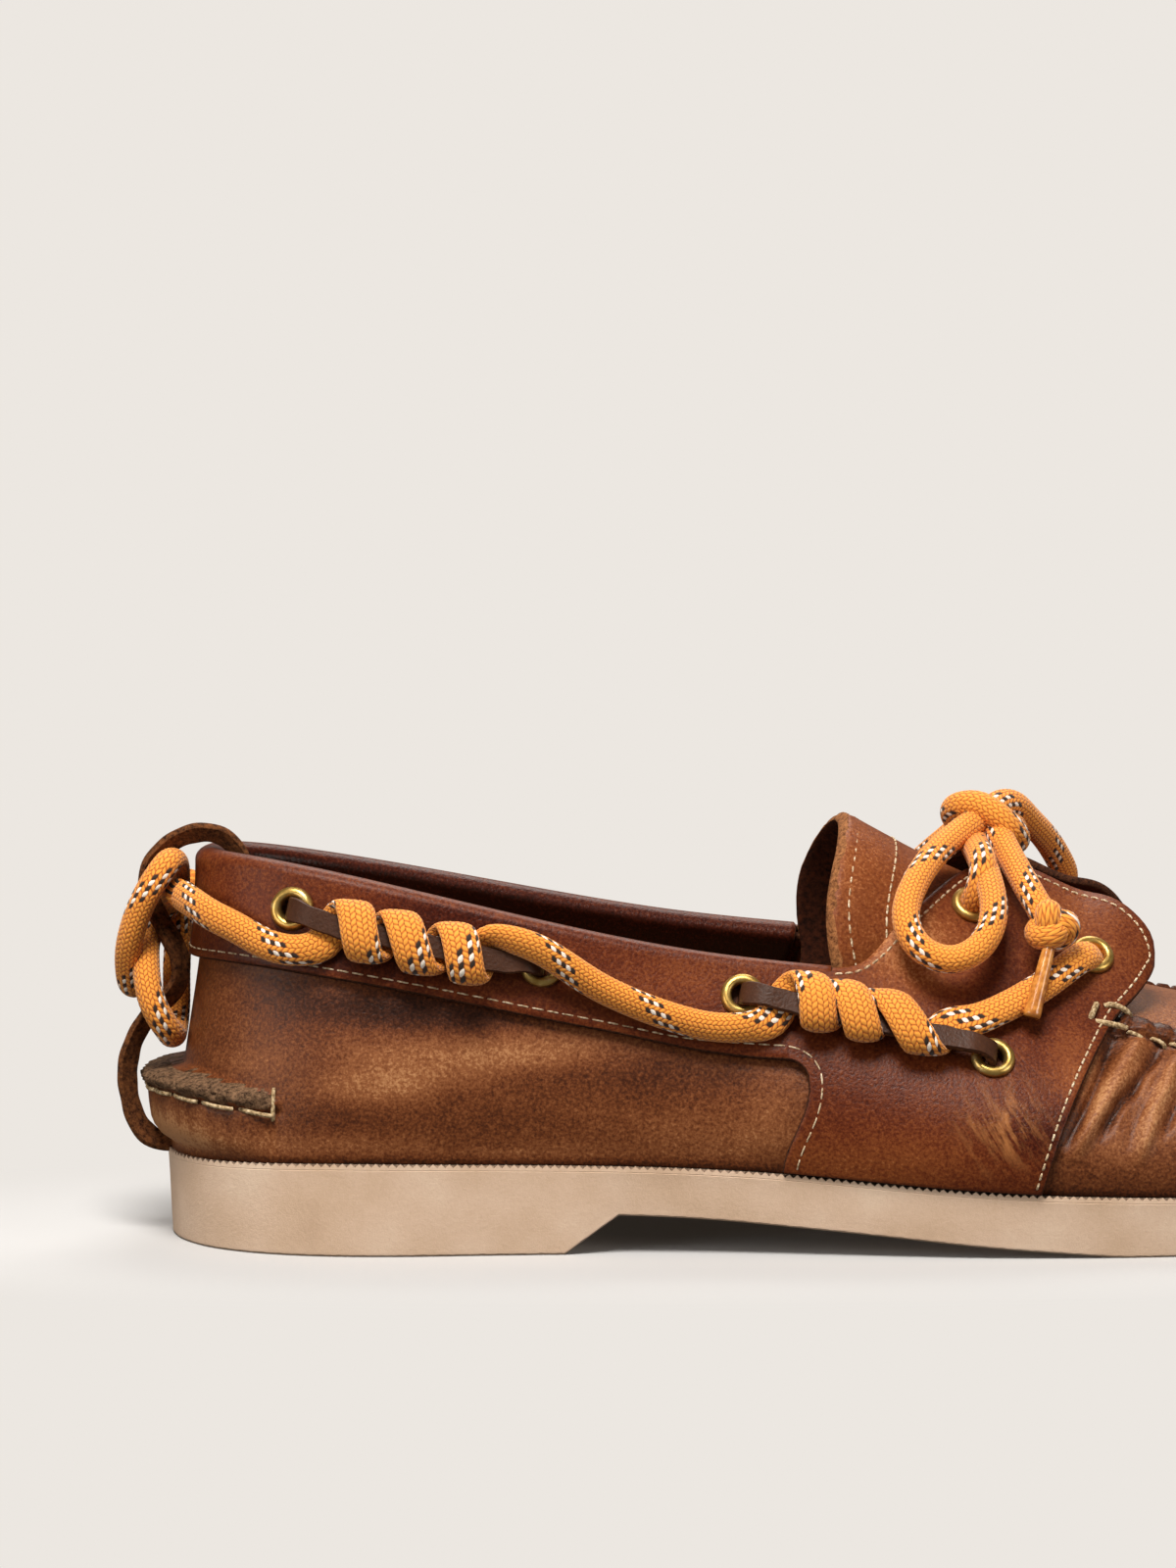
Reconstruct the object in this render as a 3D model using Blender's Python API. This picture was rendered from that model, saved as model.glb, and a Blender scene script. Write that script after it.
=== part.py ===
"""A right-foot camp moccasin: a hand-sewn loafer with a saddle, a tongue and a lace wrapped round thongs.

Run it with: blender --background --python part.py
Lengths in the tables are millimetres from the back of the sole, with +X to the toe, -Y to the outer side of
the foot and +Z up. to_world turns them into metres from the ground under the middle of the heel.
"""

import math

import bmesh
import bpy
import numpy as np
from mathutils import Matrix, Vector
from mathutils.bvhtree import BVHTree

MM = 0.001
HEEL_CENTRE = 38.0  # from the back of the sole to the middle of the heel, where the origin is

# Leather, rubber and cord, in millimetres.
WALL = 2.0  # thickness of the upper's leather
SADDLE_LEATHER = 1.6
TONGUE_LEATHER = 1.8
GAP = 0.3  # clearance between two pieces that touch
SADDLE_GAP = 0.65  # the same under the saddle, whose leather bends two ways at once
LACE_ROUND = 2.5  # radius of the lace where it lies free
LACE_WIDE, LACE_THICK = 3.5, 1.5  # half width and half thickness where it is wrapped flat
THONG_WIDE, THONG_THICK = 2.3, 0.7  # half width and half thickness of a leather thong
EYELET_HOLE, EYELET_RIM = 2.7, 4.4  # radii of the eyelet's bore and flange

# The last, a row for each section from the back of the heel to the tip of the toe. x, y_out and y_in are the
# feather line where the upper meets the sole, on the outer and inner side. The top columns are the collar,
# which runs on as the throat and then as the moc seam. flare and lean are the wall's tilt in degrees, out at
# the sole and in at the top. band is how far down from the top the saddle's band reaches.
SECTION_COLUMNS = (
    "x", "y_out", "y_in", "flare", "x_top", "y_top_out", "z_top_out", "y_top_in", "z_top_in", "lean", "band",
)
SECTIONS = {
    "heel_back": (1.5, 0.0, 0.0, -3.0, 6.4, 0.0, 77.6, 0.0, 77.6, 0.0, 19.5),
    "heel_corner": (9.0, -21.5, 21.0, 2.0, 11.8, -13.5, 78.0, 13.5, 77.4, 5.0, 19.5),
    "heel_side": (31.0, -33.5, 32.0, 10.0, 31.5, -23.5, 75.4, 23.0, 74.4, 10.0, 19.5),
    "heel_front": (60.0, -35.5, 32.5, 12.0, 63.5, -28.3, 68.1, 27.5, 68.2, 14.0, 18.0),
    "waist": (98.0, -37.5, 32.0, 14.0, 105.0, -31.0, 59.3, 30.0, 60.4, 19.0, 17.0),
    "shank": (132.0, -43.5, 37.0, 18.0, 141.5, -31.6, 55.0, 30.8, 56.2, 34.0, 17.0),
    "ball_back": (162.0, -49.0, 44.5, 22.0, 179.4, -30.8, 49.4, 30.0, 51.4, 46.0, 17.0),
    "ball": (190.0, -50.5, 48.0, 22.0, 206.2, -33.4, 42.0, 32.4, 44.2, 48.0, 15.0),
    "forefoot": (221.0, -48.5, 48.0, 20.0, 229.0, -36.0, 38.6, 36.0, 40.4, 46.0, 13.0),
    "toe_side": (254.0, -39.5, 43.5, 18.0, 254.5, -31.5, 36.8, 34.0, 38.0, 42.0, 11.0),
    "toe_corner": (283.0, -22.0, 30.5, 16.0, 275.0, -18.0, 35.8, 24.0, 36.4, 38.0, 9.0),
    "toe_tip": (297.5, 4.0, 4.0, 14.0, 285.5, 3.5, 35.4, 3.5, 35.4, 36.0, 9.0),
}

# The sole from the side: its top where the upper sits, and its underside with heel breast and toe spring.
SOLE_TOP = (
    (0, 17.6), (30, 18.9), (60, 18.6), (100, 17.8), (125, 16.6), (145, 14.9), (165, 13.4), (190, 12.3),
    (215, 11.9), (245, 12.8), (272, 14.8), (300, 18.2),
)
BREAST_FOOT, BREAST_TOP, HEEL_LIFT = 79.0, 90.0, 8.0
SOLE_FOOT = (
    (90, 8.0), (105, 7.4), (125, 5.9), (145, 4.1), (165, 2.1), (182, 0.7), (192, 0.0), (207, 0.0),
    (222, 0.5), (245, 2.2), (272, 4.9), (300, 9.0),
)
SOLE_EDGE = 1.6  # how far the sole stands out past the feather line
SOLE_TAPER = 0.8  # how much narrower its foot is than its top

# The heel cup swells out under its hand-sewn seam: height over the feather line against share of the swell.
CUP_SWELL, CUP_REACH = 8.2, 37.0
CUP_PROFILE = ((0.0, 0.0), (3.6, 0.42), (8.0, 0.66), (12.0, 0.88), (14.6, 1.0), (16.6, 0.86), (17.6, 0.0))

# The saddle's stations, by x on the feather line: where its lower front corner starts, and its three seams.
CORNER_START_X, QUARTER_SEAM_X, COLLAR_END_X, VAMP_SEAM_X = 117.4, 123.4, 125.2, 174.3

# The free edge of the saddle's flap, a row for each station from the collar's end to the front corner. at is
# the station's x on the feather line, bow is how far the flap bows out, and push is how far its middle leans
# forward.
FLAP_COLUMNS = ("at", "x", "y", "z", "bow", "push")
FLAP_EDGE = (
    (125.2, 132.0, -31.3, 57.0, 0.0, 0.0),
    (129.5, 140.2, -31.2, 57.6, 0.3, 0.0),
    (134.5, 146.8, -27.4, 63.2, 1.0, 0.0),
    (140.5, 153.8, -21.6, 68.8, 1.8, 0.0),
    (148.5, 165.6, -10.6, 74.8, 2.6, 0.0),
    (157.5, 179.4, -8.0, 73.9, 3.2, 0.0),
    (164.5, 189.8, -8.2, 69.3, 3.2, 0.0),
    (169.5, 197.6, -10.6, 66.9, 2.6, 0.0),
    (172.6, 201.8, -13.6, 63.2, 1.8, 0.6),
    (174.3, 203.0, -17.4, 58.8, 1.0, 2.0),
)

# The crown of the plug, and the tongue's ridge, half width and lower edge, all along the shoe.
PLUG_CROWN = (
    (186, 54.2), (196, 51.0), (204, 48.7), (212, 46.8), (230, 43.6), (250, 41.6), (270, 39.2), (285.5, 35.6),
)
PLUG_BACK_X, PLUG_EDGE_X = 178.5, 194.0  # on the feather line, and on the seam
RIDGE_HIGH = 2.0
TONGUE_RIDGE = (
    (134, 88.6), (141, 85.0), (149, 80.6), (156, 76.8), (165, 72.6), (175, 68.0), (185, 61.6), (192, 57.0),
    (198, 54.6),
)
TONGUE_HALF = ((134, 28.2), (150, 26.4), (170, 25.2), (180, 24.6), (192, 22.0), (198, 18.0))
TONGUE_FOOT = ((134, 49.5), (150, 47.6), (170, 47.0), (181, 49.6), (192, 51.0), (198, 50.0))
TONGUE_BACK_X, TONGUE_CROWN_X, TONGUE_EVEN_X, TONGUE_FRONT_X = 134.4, 141.0, 165.0, 198.0
INSOLE_THICK, INSOLE_CLEAR = 3.0, 0.9
HEEL_X, BREAST_X, ARCH_X = (46, 62), (BREAST_FOOT, BREAST_TOP), (105, 125, 145, 165, 182)
TREAD_X, SPRING_X = (192, 207), (222, 240, 260)

# Eyelets seen from the side: x, z.
EYELETS = {
    "1": (24.4, 70.2), "2": (74.6, 59.1), "3": (115.4, 52.7),
    "4": (165.7, 40.2), "5": (189.2, 58.4), "6": (164.9, 68.6),
}
EYELET_SIDES = 8

# The lace along one side: x, z, how far its middle stands off the saddle, and how flat it is pressed. Between
# these stretches the lace is wrapped round a thong, with its front bands at the x values of WRAPS.
LACE_BACK = ((14.5, 65.8, 3.0, 0.0), (21.0, 62.4, 2.8, 0.0), (26.5, 61.7, 2.8, 0.0), (30.5, 63.2, 2.1, 0.7))
LACE_SWAG = (
    (68.5, 66.0, 6.4, 0.2), (73.0, 64.4, 6.8, 0.0), (78.0, 61.0, 5.8, 0.0), (84.0, 57.0, 3.8, 0.0),
    (92.0, 52.2, 3.0, 0.0), (101.0, 48.2, 2.9, 0.0), (110.0, 46.0, 2.9, 0.0), (116.0, 46.0, 2.8, 0.1),
    (120.5, 47.4, 2.1, 0.8),
)
LACE_FRONT = (
    (157.0, 45.6, 2.0, 0.9), (161.5, 46.2, 2.3, 0.5), (166.0, 47.2, 2.8, 0.0), (172.5, 49.7, 2.9, 0.0),
    (179.0, 53.0, 3.0, 0.0), (183.8, 55.7, 3.5, 0.0),
)
INNER_DROP = 2.0  # how much lower the lace and its eyelets sit on the inner side
WRAPS = {"back": (("1", "2"), (38.2, 47.7, 57.4)), "front": (("3", "4"), (129.0, 136.8, 148.0))}
WRAP_HIGH, WRAP_DEEP = 4.6, 2.95  # half height and half depth of a wrap, to the middle of the lace
WRAP_FROM, WRAP_STEP = -180.0, 43.0  # degrees of turn round the thong, 0 where the first band is in front
WRAP_TO = {"back": 980.0, "front": 925.0}
THONG_OFF = 4.75  # from the saddle to the middle of a wrapped thong
THONG_SAG = 1.9  # how far that middle hangs below the line between its eyelets

# Behind the heel: the side laces start here, and between them the lace goes twice round the heel's thong.
HEEL_THONG = (
    (14.8, 0.0, 72.5), (14.6, 0.0, 79.5), (11.5, 0.0, 83.6), (6.5, 0.0, 84.6), (1.0, 0.2, 82.6),
    (-3.1, 0.4, 78.0), (-4.0, 0.5, 72.5), (-2.5, 0.3, 67.0), (0.8, 0.0, 61.0), (2.6, 0.0, 56.0),
    (2.4, 0.0, 51.0), (-2.2, 0.0, 45.4), (-7.8, 0.0, 39.0), (-10.0, 0.0, 31.0), (-8.4, 0.0, 24.5),
    (-4.4, 0.0, 20.4),
)
THONG_TILT = 30.0  # degrees that the heel's thong is turned about its own run
LACE_HEEL_START = {
    1: ((2.7, -8.8, 71.2), (4.9, -14.2, 70.2), (8.4, -19.8, 68.4)),
    -1: ((4.6, 15.8, 70.6), (8.4, 20.6, 68.6)),
}
HEEL_LACE = (
    (1.9, -5.6, 71.5), (1.4, -0.6, 70.6), (0.7, 4.3, 68.6), (-1.0, 6.2, 65.8), (-3.8, 3.6, 61.4),
    (-4.6, -1.6, 56.6), (-4.2, -5.2, 51.4), (-2.4, -6.4, 46.4), (0.0, -4.6, 42.6), (0.9, 0.0, 41.2),
    (1.4, 4.6, 42.2), (2.0, 8.8, 46.0), (2.2, 10.8, 54.0), (2.6, 10.8, 62.0), (2.2, 8.4, 69.6),
    (2.0, 5.0, 74.4), (1.4, 0.4, 77.2), (-0.2, -4.4, 77.4), (-3.2, -6.4, 73.6), (-6.2, -5.6, 67.6),
    (-8.0, -3.2, 61.0), (-8.2, 0.8, 55.0), (-7.2, 5.4, 51.0), (-5.8, 9.8, 52.6), (-4.4, 13.0, 58.0),
    (-2.0, 14.6, 64.4), (1.2, 14.2, 68.4), (2.6, 12.6, 70.2),
)

# The bow. Routes are for the outer side, and the inner side's are turned half round the knot's upright.
KNOT_AT = (171.2, 0.0, 84.0)
KNOT_ROUTE = (
    (167.2, -3.3, 80.9), (165.4, -3.3, 84.6), (168.2, -3.6, 88.0), (173.4, -3.6, 87.8),
    (177.0, -3.2, 84.6), (178.2, 0.0, 82.4), (177.0, 3.2, 84.6), (173.4, 3.6, 87.8), (168.2, 3.6, 88.0),
    (165.4, 3.3, 84.6), (167.2, 3.3, 80.9),
)
THROAT_LACE = ((166.0, -15.9, 77.0), (166.6, -10.9, 79.1), (166.2, -7.7, 79.2))
LOOP_ROUTE = (
    (168.4, -7.8, 85.4), (163.4, -12.6, 83.4), (156.6, -19.6, 79.0), (150.8, -27.0, 73.2),
    (149.0, -33.4, 66.6), (152.4, -37.4, 61.6), (158.4, -38.6, 60.0), (164.0, -37.4, 62.4),
    (167.8, -33.6, 67.4), (169.8, -27.4, 72.4), (170.8, -20.4, 77.0), (171.2, -13.4, 80.2),
    (171.4, -8.0, 81.4),
)
END_ROUTE = {
    1: (
        (175.8, -7.4, 85.0), (177.2, -12.6, 82.8), (178.6, -19.0, 79.0), (180.2, -25.6, 74.0),
        (181.4, -29.6, 70.2),
    ),
    -1: (
        (178.6, -7.8, 84.6), (182.2, -12.4, 80.2), (184.6, -19.6, 74.6), (185.8, -27.6, 69.2),
        (185.8, -33.6, 65.0),
    ),
}
STOPPER_AT = {1: (182.0, -32.4, 65.5), -1: (185.6, -37.2, 61.4)}
STOPPER_SIZE = (4.6, 4.6, 4.2)
AGLET = {1: ((180.9, -35.4, 61.2), (177.4, -40.6, 48.6)), -1: ((185.4, -39.8, 57.6), (183.6, -45.4, 45.4))}
AGLET_RADIUS = 1.5

MATERIALS = {
    "saddle_leather": ((0.115, 0.036, 0.018), 0.42, 0.0),
    "upper_leather": ((0.190, 0.066, 0.026), 0.45, 0.0),
    "thong_leather": ((0.050, 0.020, 0.011), 0.65, 0.0),
    "sole_rubber": ((0.560, 0.360, 0.230), 0.80, 0.0),
    "insole_leather": ((0.250, 0.130, 0.065), 0.70, 0.0),
    "lace_cord": ((0.800, 0.300, 0.040), 0.75, 0.0),
    "aglet_film": ((0.700, 0.300, 0.080), 0.20, 0.0),
    "brass": ((0.620, 0.400, 0.120), 0.30, 1.0),
}


# ---------------------------------------------------------------- curves
def spline_slopes(knots, values, period=None):
    """Second derivatives of the cubic spline through values, closed on itself if it has a period."""
    n = len(knots)
    rows, right = np.eye(n), np.zeros(n)
    for i in range(n):
        if period is None and i in (0, n - 1):
            continue
        before = (knots[i] - knots[i - 1]) % period if period else knots[i] - knots[i - 1]
        after = (knots[(i + 1) % n] - knots[i]) % period if period else knots[i + 1] - knots[i]
        rows[i] = 0
        rows[i, i - 1] = before
        rows[i, i] = 2 * (before + after)
        rows[i, (i + 1) % n] = after
        right[i] = 6 * ((values[(i + 1) % n] - values[i]) / after - (values[i] - values[i - 1]) / before)
    return np.linalg.solve(rows, right)


def spline(knots, values, period=None):
    """A function of the parameter that runs smoothly through values at knots."""
    knots, values = np.array(knots, float), np.array(values, float)
    second = spline_slopes(knots, values, period)
    if period:
        knots = np.append(knots, knots[0] + period)
        values, second = np.append(values, values[0]), np.append(second, second[0])

    def at(t):
        t = np.asarray(t, float)
        t = np.mod(t - knots[0], period) + knots[0] if period else np.clip(t, knots[0], knots[-1])
        i = np.clip(np.searchsorted(knots, t, side="right") - 1, 0, len(knots) - 2)
        width = knots[i + 1] - knots[i]
        b = (t - knots[i]) / width
        a = 1 - b
        bend = (a**3 - a) * second[i] + (b**3 - b) * second[i + 1]
        return a * values[i] + b * values[i + 1] + bend * width**2 / 6

    return at


def table_curve(rows):
    """A spline through a table of (x, value) rows."""
    return spline([row[0] for row in rows], [row[1] for row in rows])


def smooth_route(points, step):
    """Points about step apart on the smooth curve through a route's own points."""
    points = np.array(points, float)
    along = np.concatenate([[0], np.cumsum(np.linalg.norm(np.diff(points, axis=0), axis=1))])
    axes = [spline(along, points[:, k]) for k in range(3)]
    at = np.linspace(0, along[-1], max(3, round(along[-1] / step) + 1))
    return np.stack([axis(at) for axis in axes], axis=1)


def unit(vectors):
    return vectors / np.maximum(np.linalg.norm(vectors, axis=-1, keepdims=True), 1e-9)


# ---------------------------------------------------------------- the last
def column(name):
    return np.array([row[SECTION_COLUMNS.index(name)] for row in SECTIONS.values()])


def station_knots():
    """Where the sections lie, from 0 at the back of the heel to 1 at the tip of the toe."""
    points = np.stack([column("x"), (column("y_out") - column("y_in")) / 2], axis=1)
    along = np.concatenate([[0], np.cumsum(np.linalg.norm(np.diff(points, axis=0), axis=1))])
    return along / along[-1]


KNOTS = station_knots()


def ring(out_name, in_name=None):
    """A column round the shoe. Stations run 0 to 1 along the outer side and 0 to -1 along the inner side."""
    out_side, in_side = column(out_name), column(in_name or out_name)
    knots = np.concatenate([KNOTS, 2 - KNOTS[-2:0:-1]])
    return spline(knots, np.concatenate([out_side, in_side[-2:0:-1]]), 2.0)


RING = {
    "x": ring("x"),
    "y": ring("y_out", "y_in"),
    "x_top": ring("x_top"),
    "y_top": ring("y_top_out", "y_top_in"),
    "z_top": ring("z_top_out", "z_top_in"),
    "flare": ring("flare"),
    "lean": ring("lean"),
    "band": ring("band"),
}
sole_top = table_curve(SOLE_TOP)
sole_foot = table_curve(SOLE_FOOT)
plug_crown = table_curve(PLUG_CROWN)


def station_at(x):
    """The station whose feather line is at x."""
    stations = np.linspace(0, 1, 2001)
    return float(np.interp(x, RING["x"](stations), stations))


def out_of(stations):
    """The direction out of the shoe, level, at the feather line."""
    small = 1e-4
    along = np.stack([RING[k](stations + small) - RING[k](stations - small) for k in ("x", "y")], axis=-1)
    along = unit(along)
    return np.stack([along[..., 1], -along[..., 0], np.zeros_like(along[..., 0])], axis=-1)


def wall_lines(stations, steps=48):
    """The wall's curve at each station, from the feather line to the top, as (stations, steps, 3)."""
    stations = np.asarray(stations, float)
    x = RING["x"](stations)
    foot = np.stack([x, RING["y"](stations), sole_top(x) + GAP], axis=-1)
    top = np.stack([RING[k](stations) for k in ("x_top", "y_top", "z_top")], axis=-1)
    outward, up = out_of(stations), np.array([0.0, 0.0, 1.0])
    along = np.cross(outward, up)
    reach = np.linalg.norm(top - foot, axis=-1, keepdims=True)
    slant = np.sum((top - foot) * along, axis=-1, keepdims=True) / reach
    flare, lean = (np.radians(RING[k](stations))[..., None] for k in ("flare", "lean"))
    leave = unit(up * np.cos(flare) + outward * np.sin(flare) + along * slant * 0.6)
    arrive = unit(up * np.cos(lean) - outward * np.sin(lean) + along * slant * 1.3)
    first, second = foot + leave * reach * 0.38, top - arrive * reach * 0.36
    t = np.linspace(0, 1, steps)[:, None]
    return (
        foot[:, None] * (1 - t) ** 3
        + 3 * first[:, None] * t * (1 - t) ** 2
        + 3 * second[:, None] * t**2 * (1 - t)
        + top[:, None] * t**3
    )


def band_share(stations, lengths):
    """How far up the wall the band's lower edge is, as a share of the wall's length."""
    return 1 - RING["band"](stations) / lengths


def along_lines(lines, shares):
    """Points at shares of the length of each line. shares is (stations, rows)."""
    steps = np.linalg.norm(np.diff(lines, axis=1), axis=-1)
    run = np.concatenate([np.zeros((len(lines), 1)), np.cumsum(steps, axis=1)], axis=1)
    found = [
        [np.interp(share * length[-1], length, line[:, k]) for k in range(3)]
        for line, length, share in zip(lines, run, shares)
    ]
    return np.array(found).transpose(0, 2, 1), run[:, -1]


def wall_grid(stations, rows):
    """Points of the upper's outer face and their heights. Rows 0 to 1 are below the band and 1 to 2 on it."""
    stations, rows = np.asarray(stations, float), np.asarray(rows, float)
    lines = wall_lines(stations)
    lengths = along_lines(lines, np.ones((len(stations), 1)))[1]
    band = band_share(stations, lengths)[:, None]
    shares = np.where(rows <= 1, rows * band, band + (rows - 1) * (1 - band))
    return along_lines(lines, shares)[0], shares * lengths[:, None]


def grid_normals(grid):
    """The direction out of a grid that runs round the shoe, whose last station repeats the first."""
    around = np.gradient(grid, axis=0)
    around[0] = around[-1] = (grid[1] - grid[-2]) / 2
    return unit(np.cross(around, np.gradient(grid, axis=1)))


def swelled(grid, height, stations):
    """The wall pushed out where the heel cup swells below its seam."""
    round_heel = np.abs(stations) * np.linalg.norm([300.0, 30.0])
    share = np.cos(np.clip(round_heel / CUP_REACH, 0, 1) * math.pi / 2)
    profile = np.interp(height, [row[0] for row in CUP_PROFILE], [row[1] for row in CUP_PROFILE])
    return grid + out_of(stations)[:, None] * (CUP_SWELL * share[:, None] * profile)[..., None]


# ---------------------------------------------------------------- sheets and sweeps
def to_world(points):
    return (np.asarray(points, float) - (HEEL_CENTRE, 0, 0)) * MM


def grid_faces(rows, columns, start=0):
    """The four-cornered faces of a grid whose points are numbered row by row."""
    corner = start + np.arange(rows - 1)[:, None] * columns + np.arange(columns - 1)
    return np.stack([corner, corner + columns, corner + columns + 1, corner + 1], axis=-1)


class Sheet:
    """A surface put together from grids and patches that share their edges."""

    def __init__(self):
        self.points, self.lifts, self.faces = [], [], []

    def add(self, points, faces, lifts=None):
        start = sum(len(part) for part in self.points)
        points = np.asarray(points, float).reshape(-1, 3)
        self.points.append(points)
        self.lifts.append(np.zeros_like(points) if lifts is None else np.asarray(lifts, float).reshape(-1, 3))
        self.faces += [[start + int(corner) for corner in face] for face in faces]

    def add_grid(self, grid, lifts=None, cells=None):
        faces = grid_faces(*grid.shape[:2])
        self.add(grid, faces.reshape(-1, 4) if cells is None else faces[cells], lifts)

    def joined(self):
        """Points, lifts and faces, with the points that share a place made one."""
        points, lifts = np.concatenate(self.points), np.concatenate(self.lifts)
        _, first, index = np.unique(np.round(points / 0.002), axis=0, return_index=True, return_inverse=True)
        index = index.reshape(-1)
        faces = []
        for face in self.faces:
            corners = [int(index[corner]) for corner in face]
            corners = [corner for i, corner in enumerate(corners) if corner != corners[i - 1]]
            if len(set(corners)) == len(corners) >= 3:
                faces.append(corners)
        used = sorted({corner for face in faces for corner in face})
        renumber = {corner: i for i, corner in enumerate(used)}
        return points[first][used], lifts[first][used], [[renumber[c] for c in face] for face in faces]


def point_normals(points, faces):
    """The direction out of a sheet at each point, weighed by the faces round it."""
    normals = np.zeros_like(points)
    for face in faces:
        corners = points[face]
        for i, point in enumerate(face):
            before, after = corners[i - 1] - corners[i], corners[(i + 1) % len(face)] - corners[i]
            normals[point] += np.cross(after, before)
    return unit(normals)


def thickened(sheet, over, under):
    """The solid between a sheet moved out by over (and by its lifts) and the same sheet moved in by under."""
    points, lifts, faces = sheet.joined()
    normals = point_normals(points, faces)
    outer, inner = points + lifts + normals * over, points - normals * under
    count = len(points)
    edges = {}
    for face in faces:
        for a, b in zip(face, face[1:] + face[:1]):
            edges[(a, b)] = edges.get((a, b), 0) + 1
    rims = [[a, b, b + count, a + count][::-1] for a, b in edges if (b, a) not in edges]
    backs = [[corner + count for corner in face][::-1] for face in faces]
    return np.concatenate([outer, inner]), faces + backs + rims


def make_material(name):
    colour, roughness, metallic = MATERIALS[name]
    material = bpy.data.materials.new(name)
    material.use_nodes = True
    shader = material.node_tree.nodes["Principled BSDF"]
    shader.inputs["Base Color"].default_value = (*colour, 1)
    shader.inputs["Roughness"].default_value = roughness
    shader.inputs["Metallic"].default_value = metallic
    material.diffuse_color = (*colour, 1)
    return material


def link(name, data, material):
    data.materials.append(material)
    made = bpy.data.objects.new(name, data)
    bpy.context.scene.collection.objects.link(made)
    return made


def add_solid(name, points, faces, material, sharp_degrees=38):
    """An object from points in millimetres and the faces between them."""
    mesh = bpy.data.meshes.new(name)
    mesh.from_pydata(to_world(points).tolist(), [], [list(map(int, face)) for face in faces])
    shape = bmesh.new()
    shape.from_mesh(mesh)
    bmesh.ops.remove_doubles(shape, verts=shape.verts, dist=0.001 * MM)
    bmesh.ops.recalc_face_normals(shape, faces=shape.faces)
    shape.to_mesh(mesh)
    shape.free()
    mesh.shade_smooth()
    mesh.set_sharp_from_angle(angle=math.radians(sharp_degrees))
    return link(name, mesh, material)


def sweep(points, across, half_wide, half_thick, sides=6):
    """A closed oval tube along points. across is the direction its width lies in, at each point."""
    points = np.asarray(points, float)
    count = len(points)
    along = unit(np.gradient(points, axis=0))
    across = unit(across - np.sum(across * along, axis=1, keepdims=True) * along)
    out = np.cross(across, along)
    half_wide, half_thick = (np.broadcast_to(size, count)[:, None, None] for size in (half_wide, half_thick))
    turn = (np.arange(sides) + 0.5) * 2 * math.pi / sides
    rings = (
        points[:, None]
        + across[:, None] * half_wide * np.cos(turn)[:, None]
        + out[:, None] * half_thick * np.sin(turn)[:, None]
    )
    faces = [
        [i * sides + k, i * sides + (k + 1) % sides, (i + 1) * sides + (k + 1) % sides, (i + 1) * sides + k]
        for i in range(count - 1)
        for k in range(sides)
    ]
    first, last = list(range(sides)), [(count - 1) * sides + k for k in range(sides)]
    return rings.reshape(-1, 3), faces + [first[::-1], last]


def add_cord(name, route, radius, material, step=5.5):
    """A free stretch of cord: a curve with a round bevel and filled ends."""
    curve = bpy.data.curves.new(name, "CURVE")
    curve.dimensions = "3D"
    curve.bevel_depth = radius * MM
    curve.bevel_resolution = 2
    curve.use_fill_caps = True
    points = smooth_route(route, step)
    line = curve.splines.new("POLY")
    line.points.add(len(points) - 1)
    for point, place in zip(line.points, to_world(points)):
        point.co = (*place, 1)
    return link(name, curve, material)


# ---------------------------------------------------------------- stations and rows
HEEL_STATIONS = [station_at(31.0) * k / 7 for k in range(8)]
SIDE_X = (46, 62, 80, 98, CORNER_START_X, QUARTER_SEAM_X, COLLAR_END_X)
FLAP_X = (129.5, 134.5, 140.5, 148.5, 157.5, 164.5, 169.5, 172.6, VAMP_SEAM_X)
FRONT_X = (178.5, 184, 194, 206, 220, 234, 248, 260)
TOE_STATIONS = [station_at(260) + (1 - station_at(260)) * k / 6 for k in range(1, 7)]
ROWS = (0.0, 0.13, 0.27, 0.37, 0.425, 0.445, 0.7, 1.0, 1.8, 2.0)
SADDLE_ROWS = (0.04, *ROWS[1:])
RIDGE_ROWS = {1.8: 0.0, 2.0: 1.0}


def stations_of(*groups):
    """Stations along the outer side, in order, from groups of stations and of places on the feather line."""
    stations = [place if place <= 1 else station_at(place) for group in groups for place in group]
    return np.unique(np.round(stations, 6))


def both_sides(stations):
    """Stations from the back of the heel, first down the inner side to it and then up the outer side."""
    return np.concatenate([-stations[:0:-1], stations])


def plug_height(x, y):
    """The plug's surface inside the moc seam."""
    stations = np.linspace(station_at(150), 1, 200)
    edges = {k: np.interp(x, RING["x_top"](stations), RING[k](stations)) for k in ("y_top", "z_top")}
    inner = {k: np.interp(x, RING["x_top"](-stations), RING[k](-stations)) for k in ("y_top", "z_top")}
    half = np.maximum((inner["y_top"] - edges["y_top"]) / 2, 0.01)
    share = np.clip((y - (inner["y_top"] + edges["y_top"]) / 2) / half, -1, 1)
    rim = edges["z_top"] + (inner["z_top"] - edges["z_top"]) * (share + 1) / 2
    return rim + np.maximum(plug_crown(x) - rim, 0) * (1 - np.abs(share) ** 2.2)


def top_line(stations, inset=0.0):
    """The collar, throat and moc seam, moved in level by inset. Inside the seam it lies on the plug."""
    small = 1e-4
    ahead, behind = stations + small, stations - small
    along = unit(np.stack([RING[k](ahead) - RING[k](behind) for k in ("x_top", "y_top")], axis=-1))
    x = RING["x_top"](stations) - along[:, 1] * inset
    y = RING["y_top"](stations) + along[:, 0] * inset
    return np.stack([x, y, RING["z_top"](stations) if inset == 0 else plug_height(x, y)], axis=-1)


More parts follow.
